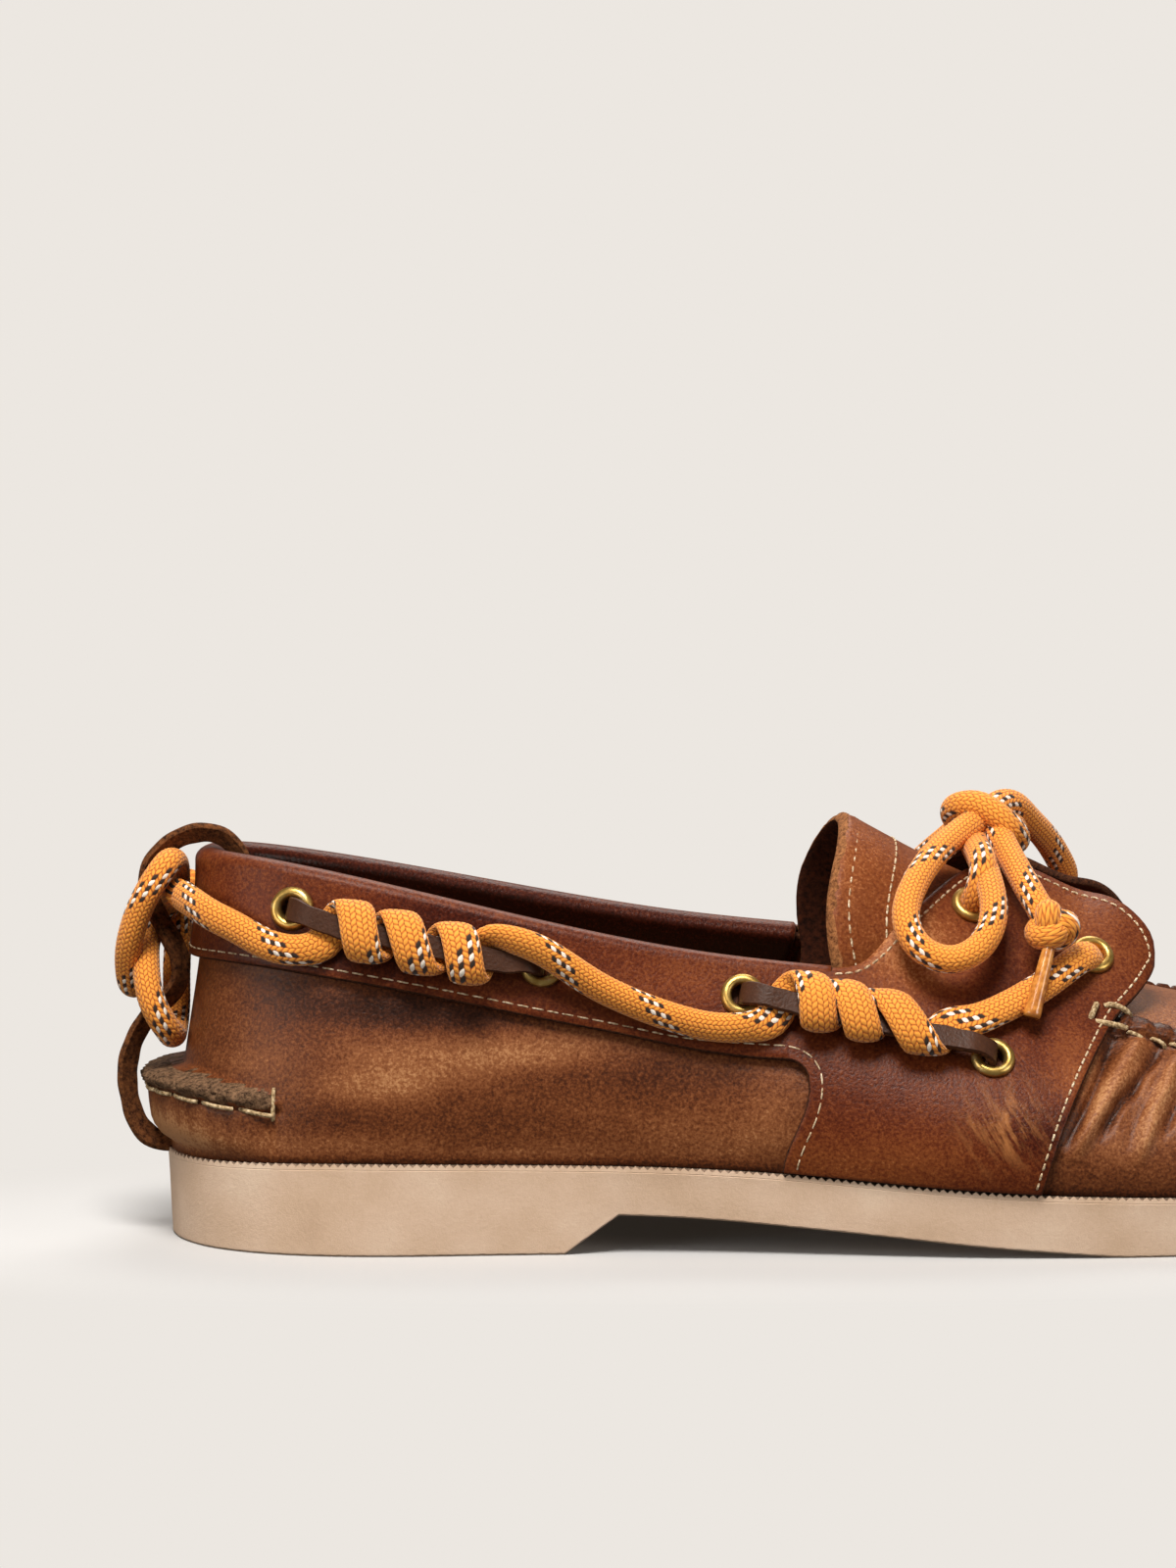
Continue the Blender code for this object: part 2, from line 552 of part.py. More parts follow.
def make_upper(material):
    """Vamp, quarters and plug: one hollow wall, open at the throat and underneath."""
    half = stations_of(HEEL_STATIONS, SIDE_X, FLAP_X[:6], (VAMP_SEAM_X,), FRONT_X, TOE_STATIONS)
    ring_stations = both_sides(half)
    rows = np.tile(ROWS, (len(ring_stations), 1))
    wall, heights = wall_grid(ring_stations, rows)
    lifts = swelled(wall, heights, ring_stations) - wall

    seam_start = station_at(PLUG_BACK_X)
    raised = np.clip((np.abs(ring_stations) - seam_start) / 0.01, 0, 1)[:, None, None]
    normals = grid_normals(wall)
    height = np.array([RIDGE_ROWS.get(row, 0.0) for row in ROWS]) * RIDGE_HIGH
    lifts = lifts + normals * height[None, :, None] * raised

    sheet = Sheet()
    sheet.add_grid(wall, lifts)

    seam = half[half >= seam_start - 1e-6]
    seam = np.concatenate([seam, -seam[::-1][1:]])
    raised = np.clip((np.abs(seam) - seam_start) / 0.01, 0, 1)[:, None]
    insets = [top_line(seam, inset) for inset in (0.0, 1.3, 1.9)]
    insets[0] = wall_grid(seam, np.full((len(seam), 1), 2.0))[0][:, 0]
    up = np.array([0.0, 0.0, RIDGE_HIGH])
    seam_lifts = [raised * up * share for share in (1.0, 0.85, 0.0)]
    seam_lifts[0] = np.array([lifts[np.argmin(np.abs(ring_stations - s)), -1] for s in seam])
    sheet.add_grid(np.stack(insets, axis=1), np.stack(seam_lifts, axis=1))

    outer, inner = insets[2][: len(seam) // 2 + 1], insets[2][::-1][: len(seam) // 2 + 1]
    shares = np.linspace(0, 1, 8)[None, :, None]
    cap = outer[:, None] * (1 - shares) + inner[:, None] * shares
    cap[:, 1:-1, 2] = plug_height(cap[:, 1:-1, 0], cap[:, 1:-1, 1])
    sheet.add_grid(cap)
    return add_solid("upper", *thickened(sheet, 0.0, WALL), material)


# ---------------------------------------------------------------- saddle
MID = SADDLE_GAP + SADDLE_LEATHER / 2  # from the upper's outer face to the middle of the saddle's leather
ROLL_RADIUS = WALL / 2 + MID
ROLL_TURNS, ROLL_INSIDE = 5, 7.0
FLAP_ROWS = 5
CORNER_ARC = 4


def flap_edge():
    """Functions of the station for each column of FLAP_EDGE."""
    knots = [station_at(row[0]) for row in FLAP_EDGE]
    return [spline(knots, [row[k] for row in FLAP_EDGE]) for k in range(1, len(FLAP_COLUMNS))]


def saddle_middle(stations, rows):
    """The middle of the saddle's leather where it lies on the upper."""
    wall, _ = wall_grid(stations, rows)
    small = 0.002
    beside = wall_grid(stations + small, rows)[0] - wall_grid(stations - small, rows)[0]
    higher, lower = np.minimum(rows + 0.02, 2), np.maximum(rows - 0.02, 0)
    above = wall_grid(stations, higher)[0] - wall_grid(stations, lower)[0]
    normals = unit(np.cross(beside, above))
    return wall + normals * MID, normals


def make_saddle(material):
    """Saddle and collar band: one leather from vamp seam to vamp seam, its top edge rolled in."""
    back = stations_of(HEEL_STATIONS, SIDE_X)
    side = stations_of((QUARTER_SEAM_X, COLLAR_END_X), FLAP_X)
    sheet = Sheet()

    # The band, and the roll over the collar's edge.
    band_stations = both_sides(back)
    band_rows = [row for row in ROWS if row >= 1]
    band, normals = saddle_middle(band_stations, np.tile(band_rows, (len(band_stations), 1)))
    cells = np.ones((len(band_stations) - 1, len(band_rows) - 1), bool)
    cells[[0, -1]] = False  # beyond the quarter seams the side panels take over
    sheet.add_grid(band, cells=cells)
    collar, out = band[:, -1], normals[:, -1]
    up = unit(band[:, -1] - band[:, -2])
    turns = np.linspace(0, math.pi, ROLL_TURNS + 1)
    centre = collar - out * ROLL_RADIUS
    roll = [centre + ROLL_RADIUS * (out * math.cos(turn) + up * math.sin(turn)) for turn in turns]
    roll.append(roll[-1] - up * ROLL_INSIDE)
    sheet.add_grid(np.stack(roll, axis=1))

    # The side panels, and the flaps over the tongue.
    edges = flap_edge()
    for way in (1, -1):
        stations = side * way
        panel, _ = saddle_middle(stations, np.tile(SADDLE_ROWS, (len(stations), 1)))
        base, rise = panel[1:, -1], unit(panel[1:, -1] - panel[1:, -2])
        x, y, z, bow, push = (edge(side[1:]) for edge in edges)
        if way < 0:  # the inner side stands a little higher
            z = z + (RING["z_top"](-side[1:]) - RING["z_top"](side[1:])) * 0.5
        edge = np.stack([x, y * way, z], axis=-1)
        edge[0] = base[0]
        chord = edge - base
        outward = unit(np.cross(np.gradient(edge, axis=0), chord + (0, 0, 1e-6))) * way
        reach = np.linalg.norm(chord, axis=1, keepdims=True)
        share = np.linspace(0, 1, FLAP_ROWS)[None, :, None]
        forward = np.stack([push, 0 * push, 0 * push], axis=-1)
        first = (base + rise * reach * 0.33 + forward)[:, None]
        second = (edge - chord * 0.33 + outward * bow[:, None] + forward)[:, None]
        flap = base[:, None] * (1 - share) ** 3 + 3 * first * share * (1 - share) ** 2
        flap = flap + 3 * second * share**2 * (1 - share) + edge[:, None] * share**3
        sheet.add_grid(panel[::way])
        sheet.add_grid(flap[::way])
        add_seam_corner(sheet, way)
    return add_solid("saddle", *thickened(sheet, SADDLE_LEATHER / 2, SADDLE_LEATHER / 2), material)


def add_seam_corner(sheet, way):
    """The rounded inside corner where the band's lower edge turns down into the quarter seam."""
    low = [row for row in ROWS if row < 1][-1]
    start, seam = station_at(CORNER_START_X), station_at(QUARTER_SEAM_X)
    turn = np.linspace(0, math.pi / 2, CORNER_ARC + 1)
    stations = way * np.append(seam, start + (seam - start) * np.sin(turn))
    levels = np.append(1.0, low + (1 - low) * np.cos(turn))
    points = saddle_middle(stations, levels[:, None])[0][:, 0]  # the corner, and then the arc
    faces = [[0, k, k + 1] for k in range(1, CORNER_ARC + 1)]
    sheet.add(points, faces if way > 0 else [face[::-1] for face in faces])


# ---------------------------------------------------------------- tongue, sole and insole
def make_tongue(material):
    """A stiff arched tab under the flaps. Its back edge stands up and its front end lies on the plug."""
    ridge, half_width, foot = (table_curve(rows) for rows in (TONGUE_RIDGE, TONGUE_HALF, TONGUE_FOOT))
    side_x = np.linspace(TONGUE_BACK_X, TONGUE_FRONT_X, 11)[:, None]
    turn = np.linspace(-math.pi / 2, math.pi / 2, 13)
    fade = np.clip((TONGUE_EVEN_X - side_x) / (TONGUE_EVEN_X - TONGUE_BACK_X), 0, 1)
    x = side_x + (TONGUE_CROWN_X - TONGUE_BACK_X) * fade * np.cos(turn) ** 1.5
    y = half_width(side_x) * np.sin(turn)
    z = foot(side_x) + (ridge(x) - foot(side_x)) * np.cos(turn)
    grid = np.stack([x, y, z], axis=-1)
    on_plug = grid[..., 0] > PLUG_EDGE_X
    rest = plug_height(grid[..., 0], grid[..., 1]) + GAP + TONGUE_LEATHER / 2
    grid[..., 2] = np.where(on_plug, np.maximum(grid[..., 2], rest), grid[..., 2])
    sheet = Sheet()
    sheet.add_grid(grid)
    return add_solid("tongue", *thickened(sheet, TONGUE_LEATHER / 2, TONGUE_LEATHER / 2), material)


def slab(name, outlines, material, sharp_degrees=30):
    """A solid between outlines, from the top one down. Each is an outer and an inner line that share ends."""
    sheet = Sheet()
    (top_out, top_in), (foot_out, foot_in) = outlines[0], outlines[-1]
    sheet.add_grid(np.stack([top_out, top_in], axis=1))
    sheet.add_grid(np.stack([foot_in, foot_out], axis=1))
    sheet.add_grid(np.stack([outline[0] for outline in outlines[::-1]], axis=1))
    sheet.add_grid(np.stack([outline[1] for outline in outlines], axis=1))
    points, _, faces = sheet.joined()
    return add_solid(name, points, faces, material, sharp_degrees)


def outline_pair(stations, out_by, height):
    """The feather line moved out, at heights that follow its place along the shoe."""
    pair = []
    for way in (1, -1):
        line = np.stack([RING["x"](stations), RING["y"](way * stations), np.zeros_like(stations)], axis=-1)
        line = line + out_of(way * stations) * out_by
        line[:, 2] = height(RING["x"](stations))
        pair.append(line)
    for end in (0, -1):
        pair[1][end] = pair[0][end] = (pair[0][end] + pair[1][end]) / 2
    return pair


def sole_underside(x):
    """Flat heel, slanted breast, arch, flat tread under the ball, and toe spring."""
    breast = HEEL_LIFT * (x - BREAST_FOOT) / (BREAST_TOP - BREAST_FOOT)
    return np.where(x <= BREAST_FOOT, 0.0, np.where(x < BREAST_TOP, breast, np.maximum(sole_foot(x), 0)))


def make_sole(material):
    stations = stations_of(HEEL_STATIONS, HEEL_X, BREAST_X, ARCH_X, TREAD_X, SPRING_X, TOE_STATIONS)
    levels = (
        (SOLE_EDGE - 0.4, lambda x: sole_top(x)),
        (SOLE_EDGE, lambda x: sole_top(x) - 1.0),
        (SOLE_EDGE - 0.2, lambda x: sole_top(x) * 0.5 + sole_underside(x) * 0.5),
        (SOLE_EDGE - SOLE_TAPER, sole_underside),
    )
    return slab("outsole", [outline_pair(stations, out_by, height) for out_by, height in levels], material)


def make_insole(material):
    stations = stations_of(HEEL_STATIONS, SIDE_X[::2], FLAP_X[::3], FRONT_X[::2], TOE_STATIONS)
    inside = -(WALL + INSOLE_CLEAR)
    top = outline_pair(stations, inside, lambda x: sole_top(x) + GAP + INSOLE_THICK)
    foot = outline_pair(stations, inside, lambda x: sole_top(x) + GAP)
    return slab("insole", [top, foot], material)


# ---------------------------------------------------------------- eyelets, thongs and lace
class Side:
    """The outer face of the saddle on one side, which is what its eyelets, thongs and lace lie against."""

    def __init__(self, saddle, way):
        points = [vertex.co / MM + Vector((HEEL_CENTRE, 0, 0)) for vertex in saddle.data.vertices]
        self.tree = BVHTree.FromPolygons(points, [list(face.vertices) for face in saddle.data.polygons])
        self.way = way

    def at(self, x, z):
        """The point of the saddle's face seen from the side at x and z, and the direction out of it."""
        start = Vector((x, -200.0 * self.way, z if self.way > 0 else z - INNER_DROP))
        point, normal, _, _ = self.tree.ray_cast(start, Vector((0, self.way, 0)))
        if point is None:
            raise ValueError(f"no saddle at {x:.1f}, {z:.1f}")
        return np.array(point), np.array(normal)

    def off(self, x, z, distance):
        point, normal = self.at(x, z)
        return point + normal * distance


def make_eyelet(name, side, place, material):
    """A turned brass ring whose flange stands on the leather."""
    point, normal = side.at(*place)
    across = unit(np.cross(normal, (0.0, 0.0, 1.0)))
    up = np.cross(across, normal)
    profile = ((EYELET_HOLE, 0.6), (EYELET_HOLE + 0.3, 1.5), (EYELET_RIM - 0.3, 1.3), (EYELET_RIM, 0.6))
    turns = np.arange(EYELET_SIDES) * 2 * math.pi / EYELET_SIDES
    ring = [
        point + normal * height + (across * math.cos(turn) + up * math.sin(turn)) * radius
        for turn in turns
        for radius, height in profile
    ]
    count = len(profile)
    faces = [
        [i * count + k, i * count + (k + 1) % count, j * count + (k + 1) % count, j * count + k]
        for i, j in ((i, (i + 1) % EYELET_SIDES) for i in range(EYELET_SIDES))
        for k in range(count)
    ]
    return add_solid(name, ring, faces, material, 30)


THONG_END = ((0.0, 0.8), (0.25, 2.0), (1.5, 3.4), (4.4, THONG_OFF))  # along the saddle, and off it


def make_thong(name, side, first, last, material):
    """A leather strip from one eyelet to another, standing off the saddle between them."""
    start, end = np.array(EYELETS[first]), np.array(EYELETS[last])
    length = np.linalg.norm(end - start)
    places = [(d, off) for d, off in THONG_END] + [(length * k / 8, THONG_OFF) for k in range(1, 8)]
    places += [(length - d, off) for d, off in THONG_END[::-1]]
    points, across = [], []
    for d, off in places:
        x, z = start + (end - start) * d / length
        z -= THONG_SAG * min(1, d / length * 6, (1 - d / length) * 6)
        point, normal = side.at(x, z)
        points.append(point + normal * off)
        across.append(np.cross(normal, (end[0] - start[0], 0, end[1] - start[1])))
    return add_solid(name, *sweep(points, unit(np.array(across)), THONG_WIDE, THONG_THICK), material, 50)


def wrap_points(side, run):
    """The lace round a thong: points, the way its flat side looks, and how far it is flattened."""
    (first, last), bands = WRAPS[run]
    start, end = np.array(EYELETS[first]), np.array(EYELETS[last])
    turns = np.arange(WRAP_FROM, WRAP_TO[run] + 1, WRAP_STEP)
    front = np.array([bands[0] - (bands[1] - bands[0]), *bands, bands[2] + (bands[1] - bands[0])])
    points, facing = [], []
    for turn in turns:
        x = np.interp(turn, (-360, 0, 360, 720, 1080), front)
        z = start[1] + (end[1] - start[1]) * (x - start[0]) / (end[0] - start[0]) - THONG_SAG
        point, normal = side.at(x, z)
        upward = unit(np.cross(np.cross(normal, (0.0, 0.0, 1.0)), normal))
        swing = math.radians(-turn)
        off, rise = THONG_OFF + WRAP_DEEP * math.cos(swing), WRAP_HIGH * math.sin(swing)
        points.append(point + normal * off + upward * rise)
        facing.append(unit(normal * math.cos(swing) / WRAP_DEEP + upward * math.sin(swing) / WRAP_HIGH))
    return points, facing


def make_side_lace(name, side, material):
    """One side's lace, from behind the heel to the front eyelet, wrapped round both thongs on its way."""
    points = [np.array(point) for point in LACE_HEEL_START[side.way]]
    facing, flat = [np.array((-0.5, -0.8 * side.way, 0.0))] * len(points), [0.0] * len(points)
    for rows, which in ((LACE_BACK, "back"), (LACE_SWAG, "front"), (LACE_FRONT, None)):
        for x, z, off, pressed in rows:
            point, normal = side.at(x, z)
            points.append(point + normal * off)
            facing.append(normal)
            flat.append(pressed)
        if which:
            wrapped, normals = wrap_points(side, which)
            points += wrapped
            facing += normals
            flat += [1.0] * len(wrapped)
    points, flat = np.array(points), np.array(flat)
    along = unit(np.gradient(points, axis=0))
    across = unit(np.cross(facing, along))
    for i in range(1, len(across)):  # a round stretch carries its neighbour's turn on
        carried = across[i - 1] if across[i - 1] @ across[i] > 0 else -across[i - 1]
        across[i] = unit(carried * (1 - flat[i]) + across[i] * flat[i])
        if across[i] @ across[i - 1] < 0:
            across[i] = -across[i]
    wide = LACE_ROUND + (LACE_WIDE - LACE_ROUND) * flat
    thick = LACE_ROUND + (LACE_THICK - LACE_ROUND) * flat
    return add_solid(name, *sweep(points, across, wide, thick), material, 60)


def turned(route, way):
    """A route of the bow, turned half round the knot's upright for the inner side."""
    return [(KNOT_AT[0] + (x - KNOT_AT[0]) * way, y * way, z) for x, y, z in route]


def make_heel(materials):
    """The thong over the heel, and the lace that goes twice round it from one side to the other."""
    thong = smooth_route(HEEL_THONG, 4.5)
    along, level, tilt = unit(np.gradient(thong, axis=0)), np.array([0.0, 1.0, 0.0]), math.radians(THONG_TILT)
    across = level * math.cos(tilt) + np.cross(along, level) * math.sin(tilt)
    strip = sweep(thong, across, THONG_WIDE, THONG_THICK)
    add_solid("thong_heel", *strip, materials["thong_leather"], 50)
    add_cord("lace_heel", HEEL_LACE, LACE_ROUND, materials["lace_cord"], 5.0)


def make_bow(sides, materials):
    """Knot, loops and ends, each end with its stopper knot and its aglet."""
    cord = materials["lace_cord"]
    add_cord("bow_knot", KNOT_ROUTE, LACE_ROUND, cord, 4.0)
    for side, word in sides:
        way = side.way
        throat = [side.off(*EYELETS["6"], off) for off in (2.2, 4.2)]
        throat += [np.array(point) * (1, way, 1) for point in THROAT_LACE]
        add_cord(f"lace_throat_{word}", throat, LACE_ROUND, cord)
        add_cord(f"bow_loop_{word}", turned(LOOP_ROUTE, way), LACE_ROUND, cord)
        add_cord(f"bow_end_{word}", turned(END_ROUTE[way], way), LACE_ROUND, cord)
        ball = bmesh.new()
        centre = to_world(turned([STOPPER_AT[way]], way)[0])
        place = Matrix.Translation(centre) @ Matrix.Diagonal((*(size * MM for size in STOPPER_SIZE), 1))
        bmesh.ops.create_uvsphere(ball, u_segments=10, v_segments=7, radius=1, matrix=place)
        mesh = bpy.data.meshes.new(f"stopper_{word}")
        ball.to_mesh(mesh)
        ball.free()
        mesh.shade_smooth()
        link(f"stopper_{word}", mesh, cord)
        add_cord(f"aglet_{word}", turned(AGLET[way], way), AGLET_RADIUS, materials["aglet_film"], 20.0)


def main():
    for old in list(bpy.data.objects):
        bpy.data.objects.remove(old)
    materials = {name: make_material(name) for name in MATERIALS}
    make_sole(materials["sole_rubber"])
    make_insole(materials["insole_leather"])
    make_upper(materials["upper_leather"])
    saddle = make_saddle(materials["saddle_leather"])
    make_tongue(materials["saddle_leather"])
    sides = ((Side(saddle, 1), "outer"), (Side(saddle, -1), "inner"))
    for side, word in sides:
        for number, place in EYELETS.items():
            make_eyelet(f"eyelet_{word}_{number}", side, place, materials["brass"])
        for run, ((first, last), _) in WRAPS.items():
            make_thong(f"thong_{word}_{run}", side, first, last, materials["thong_leather"])
        make_side_lace(f"lace_{word}", side, materials["lace_cord"])
    make_heel(materials)
    make_bow(sides, materials)


if __name__ == "__main__":
    main()
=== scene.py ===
# %% [markdown]
# # A camp moccasin with a wrapped lace
#
# This script dresses a packed right-foot camp moccasin: its solids are the frame, and every visible piece is
# built again in finer mesh over them, with procedural leather, crepe rubber, brass and braided cord.
#
# The whole shoe is worked out from one function, the last: a point of the upper is given by a **station**,
# which runs from 0 at the back of the heel to 1 at the toe on the outer side and to -1 on the inner side,
# and a **row**, which is 0 at the sole, 1 at the lower edge of the collar band and 2 at the collar.
#
# Lengths are millimetres from the back of the sole, with +X to the toe, -Y to the outer side and +Z up,
# until `to_world` turns them into metres from the ground under the middle of the heel.

# %% Load the frame
import math
from functools import partial

import bmesh
import bpy
import numpy as np
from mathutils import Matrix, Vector, noise
from mathutils.bvhtree import BVHTree


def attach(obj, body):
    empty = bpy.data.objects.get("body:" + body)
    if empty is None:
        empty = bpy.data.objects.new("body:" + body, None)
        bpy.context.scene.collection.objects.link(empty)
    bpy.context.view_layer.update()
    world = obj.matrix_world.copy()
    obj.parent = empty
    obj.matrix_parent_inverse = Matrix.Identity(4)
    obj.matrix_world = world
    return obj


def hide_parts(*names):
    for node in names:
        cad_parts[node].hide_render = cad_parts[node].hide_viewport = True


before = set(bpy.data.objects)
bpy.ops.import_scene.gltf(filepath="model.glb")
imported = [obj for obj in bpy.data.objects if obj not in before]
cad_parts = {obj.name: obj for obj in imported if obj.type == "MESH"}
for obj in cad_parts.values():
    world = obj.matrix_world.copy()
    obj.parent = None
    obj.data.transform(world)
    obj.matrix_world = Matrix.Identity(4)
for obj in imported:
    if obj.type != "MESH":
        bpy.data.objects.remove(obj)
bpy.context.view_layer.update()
scene = bpy.context.scene
MM = 0.001
HEEL_CENTRE = 38.0
print("nodes", len(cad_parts))


def to_world(points):
    return (np.asarray(points, float) - (HEEL_CENTRE, 0, 0)) * MM


# %% [markdown]
# ## The camera
#
# A long lens looks at the shoe's outer side from a little above and a little behind, and the frame cuts off
# the toe. A short lens close by would show the same side, but it would bend the sole's long line, so the
# camera stands well back.

# %% Camera
CAMERA_TARGET = (87.23, 0, 92.44)
CAMERA_AZIMUTH, CAMERA_ELEVATION, CAMERA_DISTANCE = -5.5, 6.2, 1500.0
PICTURE_HIGH = 325.2  # how much of the world the picture's height shows at the target
FILM_HIGH = 36.0

azimuth, elevation = math.radians(CAMERA_AZIMUTH), math.radians(CAMERA_ELEVATION)
towards_camera = np.array(
    [math.sin(azimuth) * math.cos(elevation), -math.cos(azimuth) * math.cos(elevation), math.sin(elevation)]
)
lens = bpy.data.cameras.new("camera")
lens.sensor_fit = "VERTICAL"
lens.sensor_height = FILM_HIGH
lens.lens = FILM_HIGH * CAMERA_DISTANCE / PICTURE_HIGH
lens.clip_start, lens.clip_end = 0.05, 20.0
camera = bpy.data.objects.new("camera", lens)
camera.location = Vector(to_world(np.array(CAMERA_TARGET) + towards_camera * CAMERA_DISTANCE))
camera.rotation_euler = Vector(towards_camera).to_track_quat("Z", "Y").to_euler()
scene.collection.objects.link(camera)
scene.camera = camera
print("camera lens", round(lens.lens, 1), "mm")

# %% [markdown]
# ## Thicknesses
#
# Leather and cord are chosen by their thickness, and a piece that lies on another one is set off from it by
# that much. These few sizes are shared by many steps, so they come first. Every other size stands where it
# is first needed.

# %% Thicknesses
WALL = 2.0  # of the upper's leather
SADDLE_LEATHER = 1.6
TONGUE_LEATHER = 1.8
GAP = 0.3  # between pieces that only touch on the real shoe
LACE_RADIUS = 2.85  # of the lace in the bow
SIDES = ((1, "outer"), (-1, "inner"))
print("upper", WALL, "mm, saddle", SADDLE_LEATHER, "mm, lace", 2 * LACE_RADIUS, "mm across")

# %% [markdown]
# ## Curves
#
# Every long line of a shoe, such as its collar, is drawn by a pattern maker through a few measured points.
# Bezier curves could draw it too, but they need handles. A cubic spline needs the points alone, so each line
# here is a short table.

# %% Splines
def spline_slopes(knots, values, period):
    """Second derivatives of the cubic spline through values, closed on itself if it has a period."""
    n = len(knots)
    rows, right = np.eye(n), np.zeros(n)
    for i in range(n):
        if period is None and i in (0, n - 1):
            continue
        before = (knots[i] - knots[i - 1]) % period if period else knots[i] - knots[i - 1]
        after = (knots[(i + 1) % n] - knots[i]) % period if period else knots[i + 1] - knots[i]
        rows[i] = 0
        rows[i, i - 1] = before
        rows[i, i] = 2 * (before + after)
        rows[i, (i + 1) % n] = after
        right[i] = 6 * ((values[(i + 1) % n] - values[i]) / after - (values[i] - values[i - 1]) / before)
    return np.linalg.solve(rows, right)


def spline(knots, values, period=None):
    """A function of the parameter that runs smoothly through values at knots."""
    knots, values = np.array(knots, float), np.array(values, float)
    second = spline_slopes(knots, values, period)
    if period:
        knots = np.append(knots, knots[0] + period)
        values, second = np.append(values, values[0]), np.append(second, second[0])

    def at(t):
        t = np.asarray(t, float)
        t = np.mod(t - knots[0], period) + knots[0] if period else np.clip(t, knots[0], knots[-1])
        i = np.clip(np.searchsorted(knots, t, side="right") - 1, 0, len(knots) - 2)
        width = knots[i + 1] - knots[i]
        b = (t - knots[i]) / width
        a = 1 - b
        bend = (a**3 - a) * second[i] + (b**3 - b) * second[i + 1]
        return a * values[i] + b * values[i + 1] + bend * width**2 / 6

    return at


def table_curve(rows):
    """A spline through a table of (x, value) rows."""
    return spline([row[0] for row in rows], [row[1] for row in rows])


print("a spline through 0, 1 and 0 starts at", round(float(table_curve(((0, 0), (1, 1), (2, 0)))(0.5)), 2))


# %% Lines of points
def unit(vectors):
    return vectors / np.maximum(np.linalg.norm(vectors, axis=-1, keepdims=True), 1e-9)


def lengths_along(points):
    """How far along a line each of its points is."""
    return np.concatenate([[0], np.cumsum(np.linalg.norm(np.diff(points, axis=0), axis=1))])


def straight(at, knots, points):
    """Places on the straight lines between points that lie at knots."""
    return np.stack([np.interp(at, knots, axis) for axis in points.T], axis=1)


def smooth(at, knots, points):
    """Places on the smooth curve through points that lie at knots."""
    return np.stack([spline(knots, axis)(at) for axis in points.T], axis=1)


def smooth_route(points, step):
    """Points about step apart on the smooth curve through a route's own points."""
    points = np.array(points, float)
    along = lengths_along(points)
    return smooth(np.linspace(0, along[-1], max(3, round(along[-1] / step) + 1)), along, points)


def bezier(start, first, second, end, t):
    """Places at shares t of a cubic curve with two handles."""
    return start * (1 - t) ** 3 + 3 * first * t * (1 - t) ** 2 + 3 * second * t**2 * (1 - t) + end * t**3


diagonal = smooth_route([(0, 0, 0), (1, 1, 1)], 0.1)
print("a cube's diagonal is", round(float(lengths_along(diagonal)[-1]), 2), "times its side")


# %% Soft steps, roughness and patches
def smoothstep(low, high, values):
    share = np.clip((np.asarray(values, float) - low) / (high - low), 0, 1)
    return share * share * (3 - 2 * share)


def bell(values, centre, width):
    """1 at the centre, falling smoothly to 0 at width on each side."""
    return 1 - smoothstep(0, width, np.abs(np.asarray(values, float) - centre))


def rough(points, size):
    """Random heights from about -1 to 1 whose bumps are this big."""
    found = [noise.noise(Vector(point) / size) for point in points.reshape(-1, 3)]
    return 2 * np.array(found).reshape(points.shape[:-1])


def painted(points, patches):
    """Light and dark patches seen from the side: the leather's own tone, painted highlights and painted
    shade.
    Each is x, z, half width, half height, tone.
    """
    tone = np.zeros(points.shape[:-1])
    for x, z, half_wide, half_high, shade in patches:
        far = np.hypot((points[..., 0] - x) / half_wide, (points[..., 2] - z) / half_high)
        tone += shade * (1 - smoothstep(0.1, 1.5, far))
    return tone


# %% [markdown]
# ## The last
#
# A shoe is built round a last, a solid form of the foot. Each row of the table is one section of it: where
# the sole's edge and the top edge lie, how far the wall flares at the foot and leans in at the top, and how
# high the collar's band is. Between its two edges the wall is one cubic curve. Sculpting a mesh would be
# freer, but with one function of station and row every stitch, crease and eyelet finds its place on the
# leather.

# %% Sections of the last
SECTION_COLUMNS = (
    "x", "y_out", "y_in", "flare", "x_top", "y_top_out", "z_top_out", "y_top_in", "z_top_in", "lean", "band",
)
SECTIONS = {
    "heel_back": (1.5, 0, 0, -3, 8, 0, 77.6, 0, 77.6, 0, 19.5),
    "heel_corner": (9, -21.5, 21, 2, 12.7, -13.5, 78, 13.5, 77.4, 5, 19.5),
    "heel_side": (31, -33.5, 32, 10, 31.5, -23.5, 75.4, 23, 74.4, 10, 19.5),
    "heel_front": (60, -35.5, 32.5, 12, 63.5, -28.3, 68.1, 27.5, 68.2, 14, 18),
    "waist": (98, -37.5, 32, 14, 105, -31, 59.3, 30, 60.4, 19, 17),
    "shank": (132, -43.5, 37, 18, 141.5, -31.6, 55, 30.8, 56.2, 34, 17),
    "ball_back": (162, -49, 44.5, 22, 179.4, -30.8, 49.4, 30, 51.4, 46, 17),
    "ball": (190, -50.5, 48, 22, 206.2, -33.4, 42, 32.4, 44.2, 48, 15),
    "forefoot": (221, -48.5, 48, 20, 229, -36, 38.6, 36, 40.4, 46, 13),
    "toe_side": (254, -39.5, 43.5, 18, 254.5, -31.5, 36.8, 34, 38, 42, 11),
    "toe_corner": (283, -22, 30.5, 16, 275, -18, 35.8, 24, 36.4, 38, 9),
    "toe_tip": (297.5, 4, 4, 14, 285.5, 3.5, 35.4, 3.5, 35.4, 36, 9),
}
SOLE_TOP = (
    (0, 17.6), (30, 18.9), (60, 18.6), (100, 17.8), (125, 16.6), (145, 14.9), (165, 13.4), (190, 12.3),
    (215, 11.9), (245, 12.8), (272, 14.8), (300, 18.2),
)


def column(name):
    return np.array([row[SECTION_COLUMNS.index(name)] for row in SECTIONS.values()])


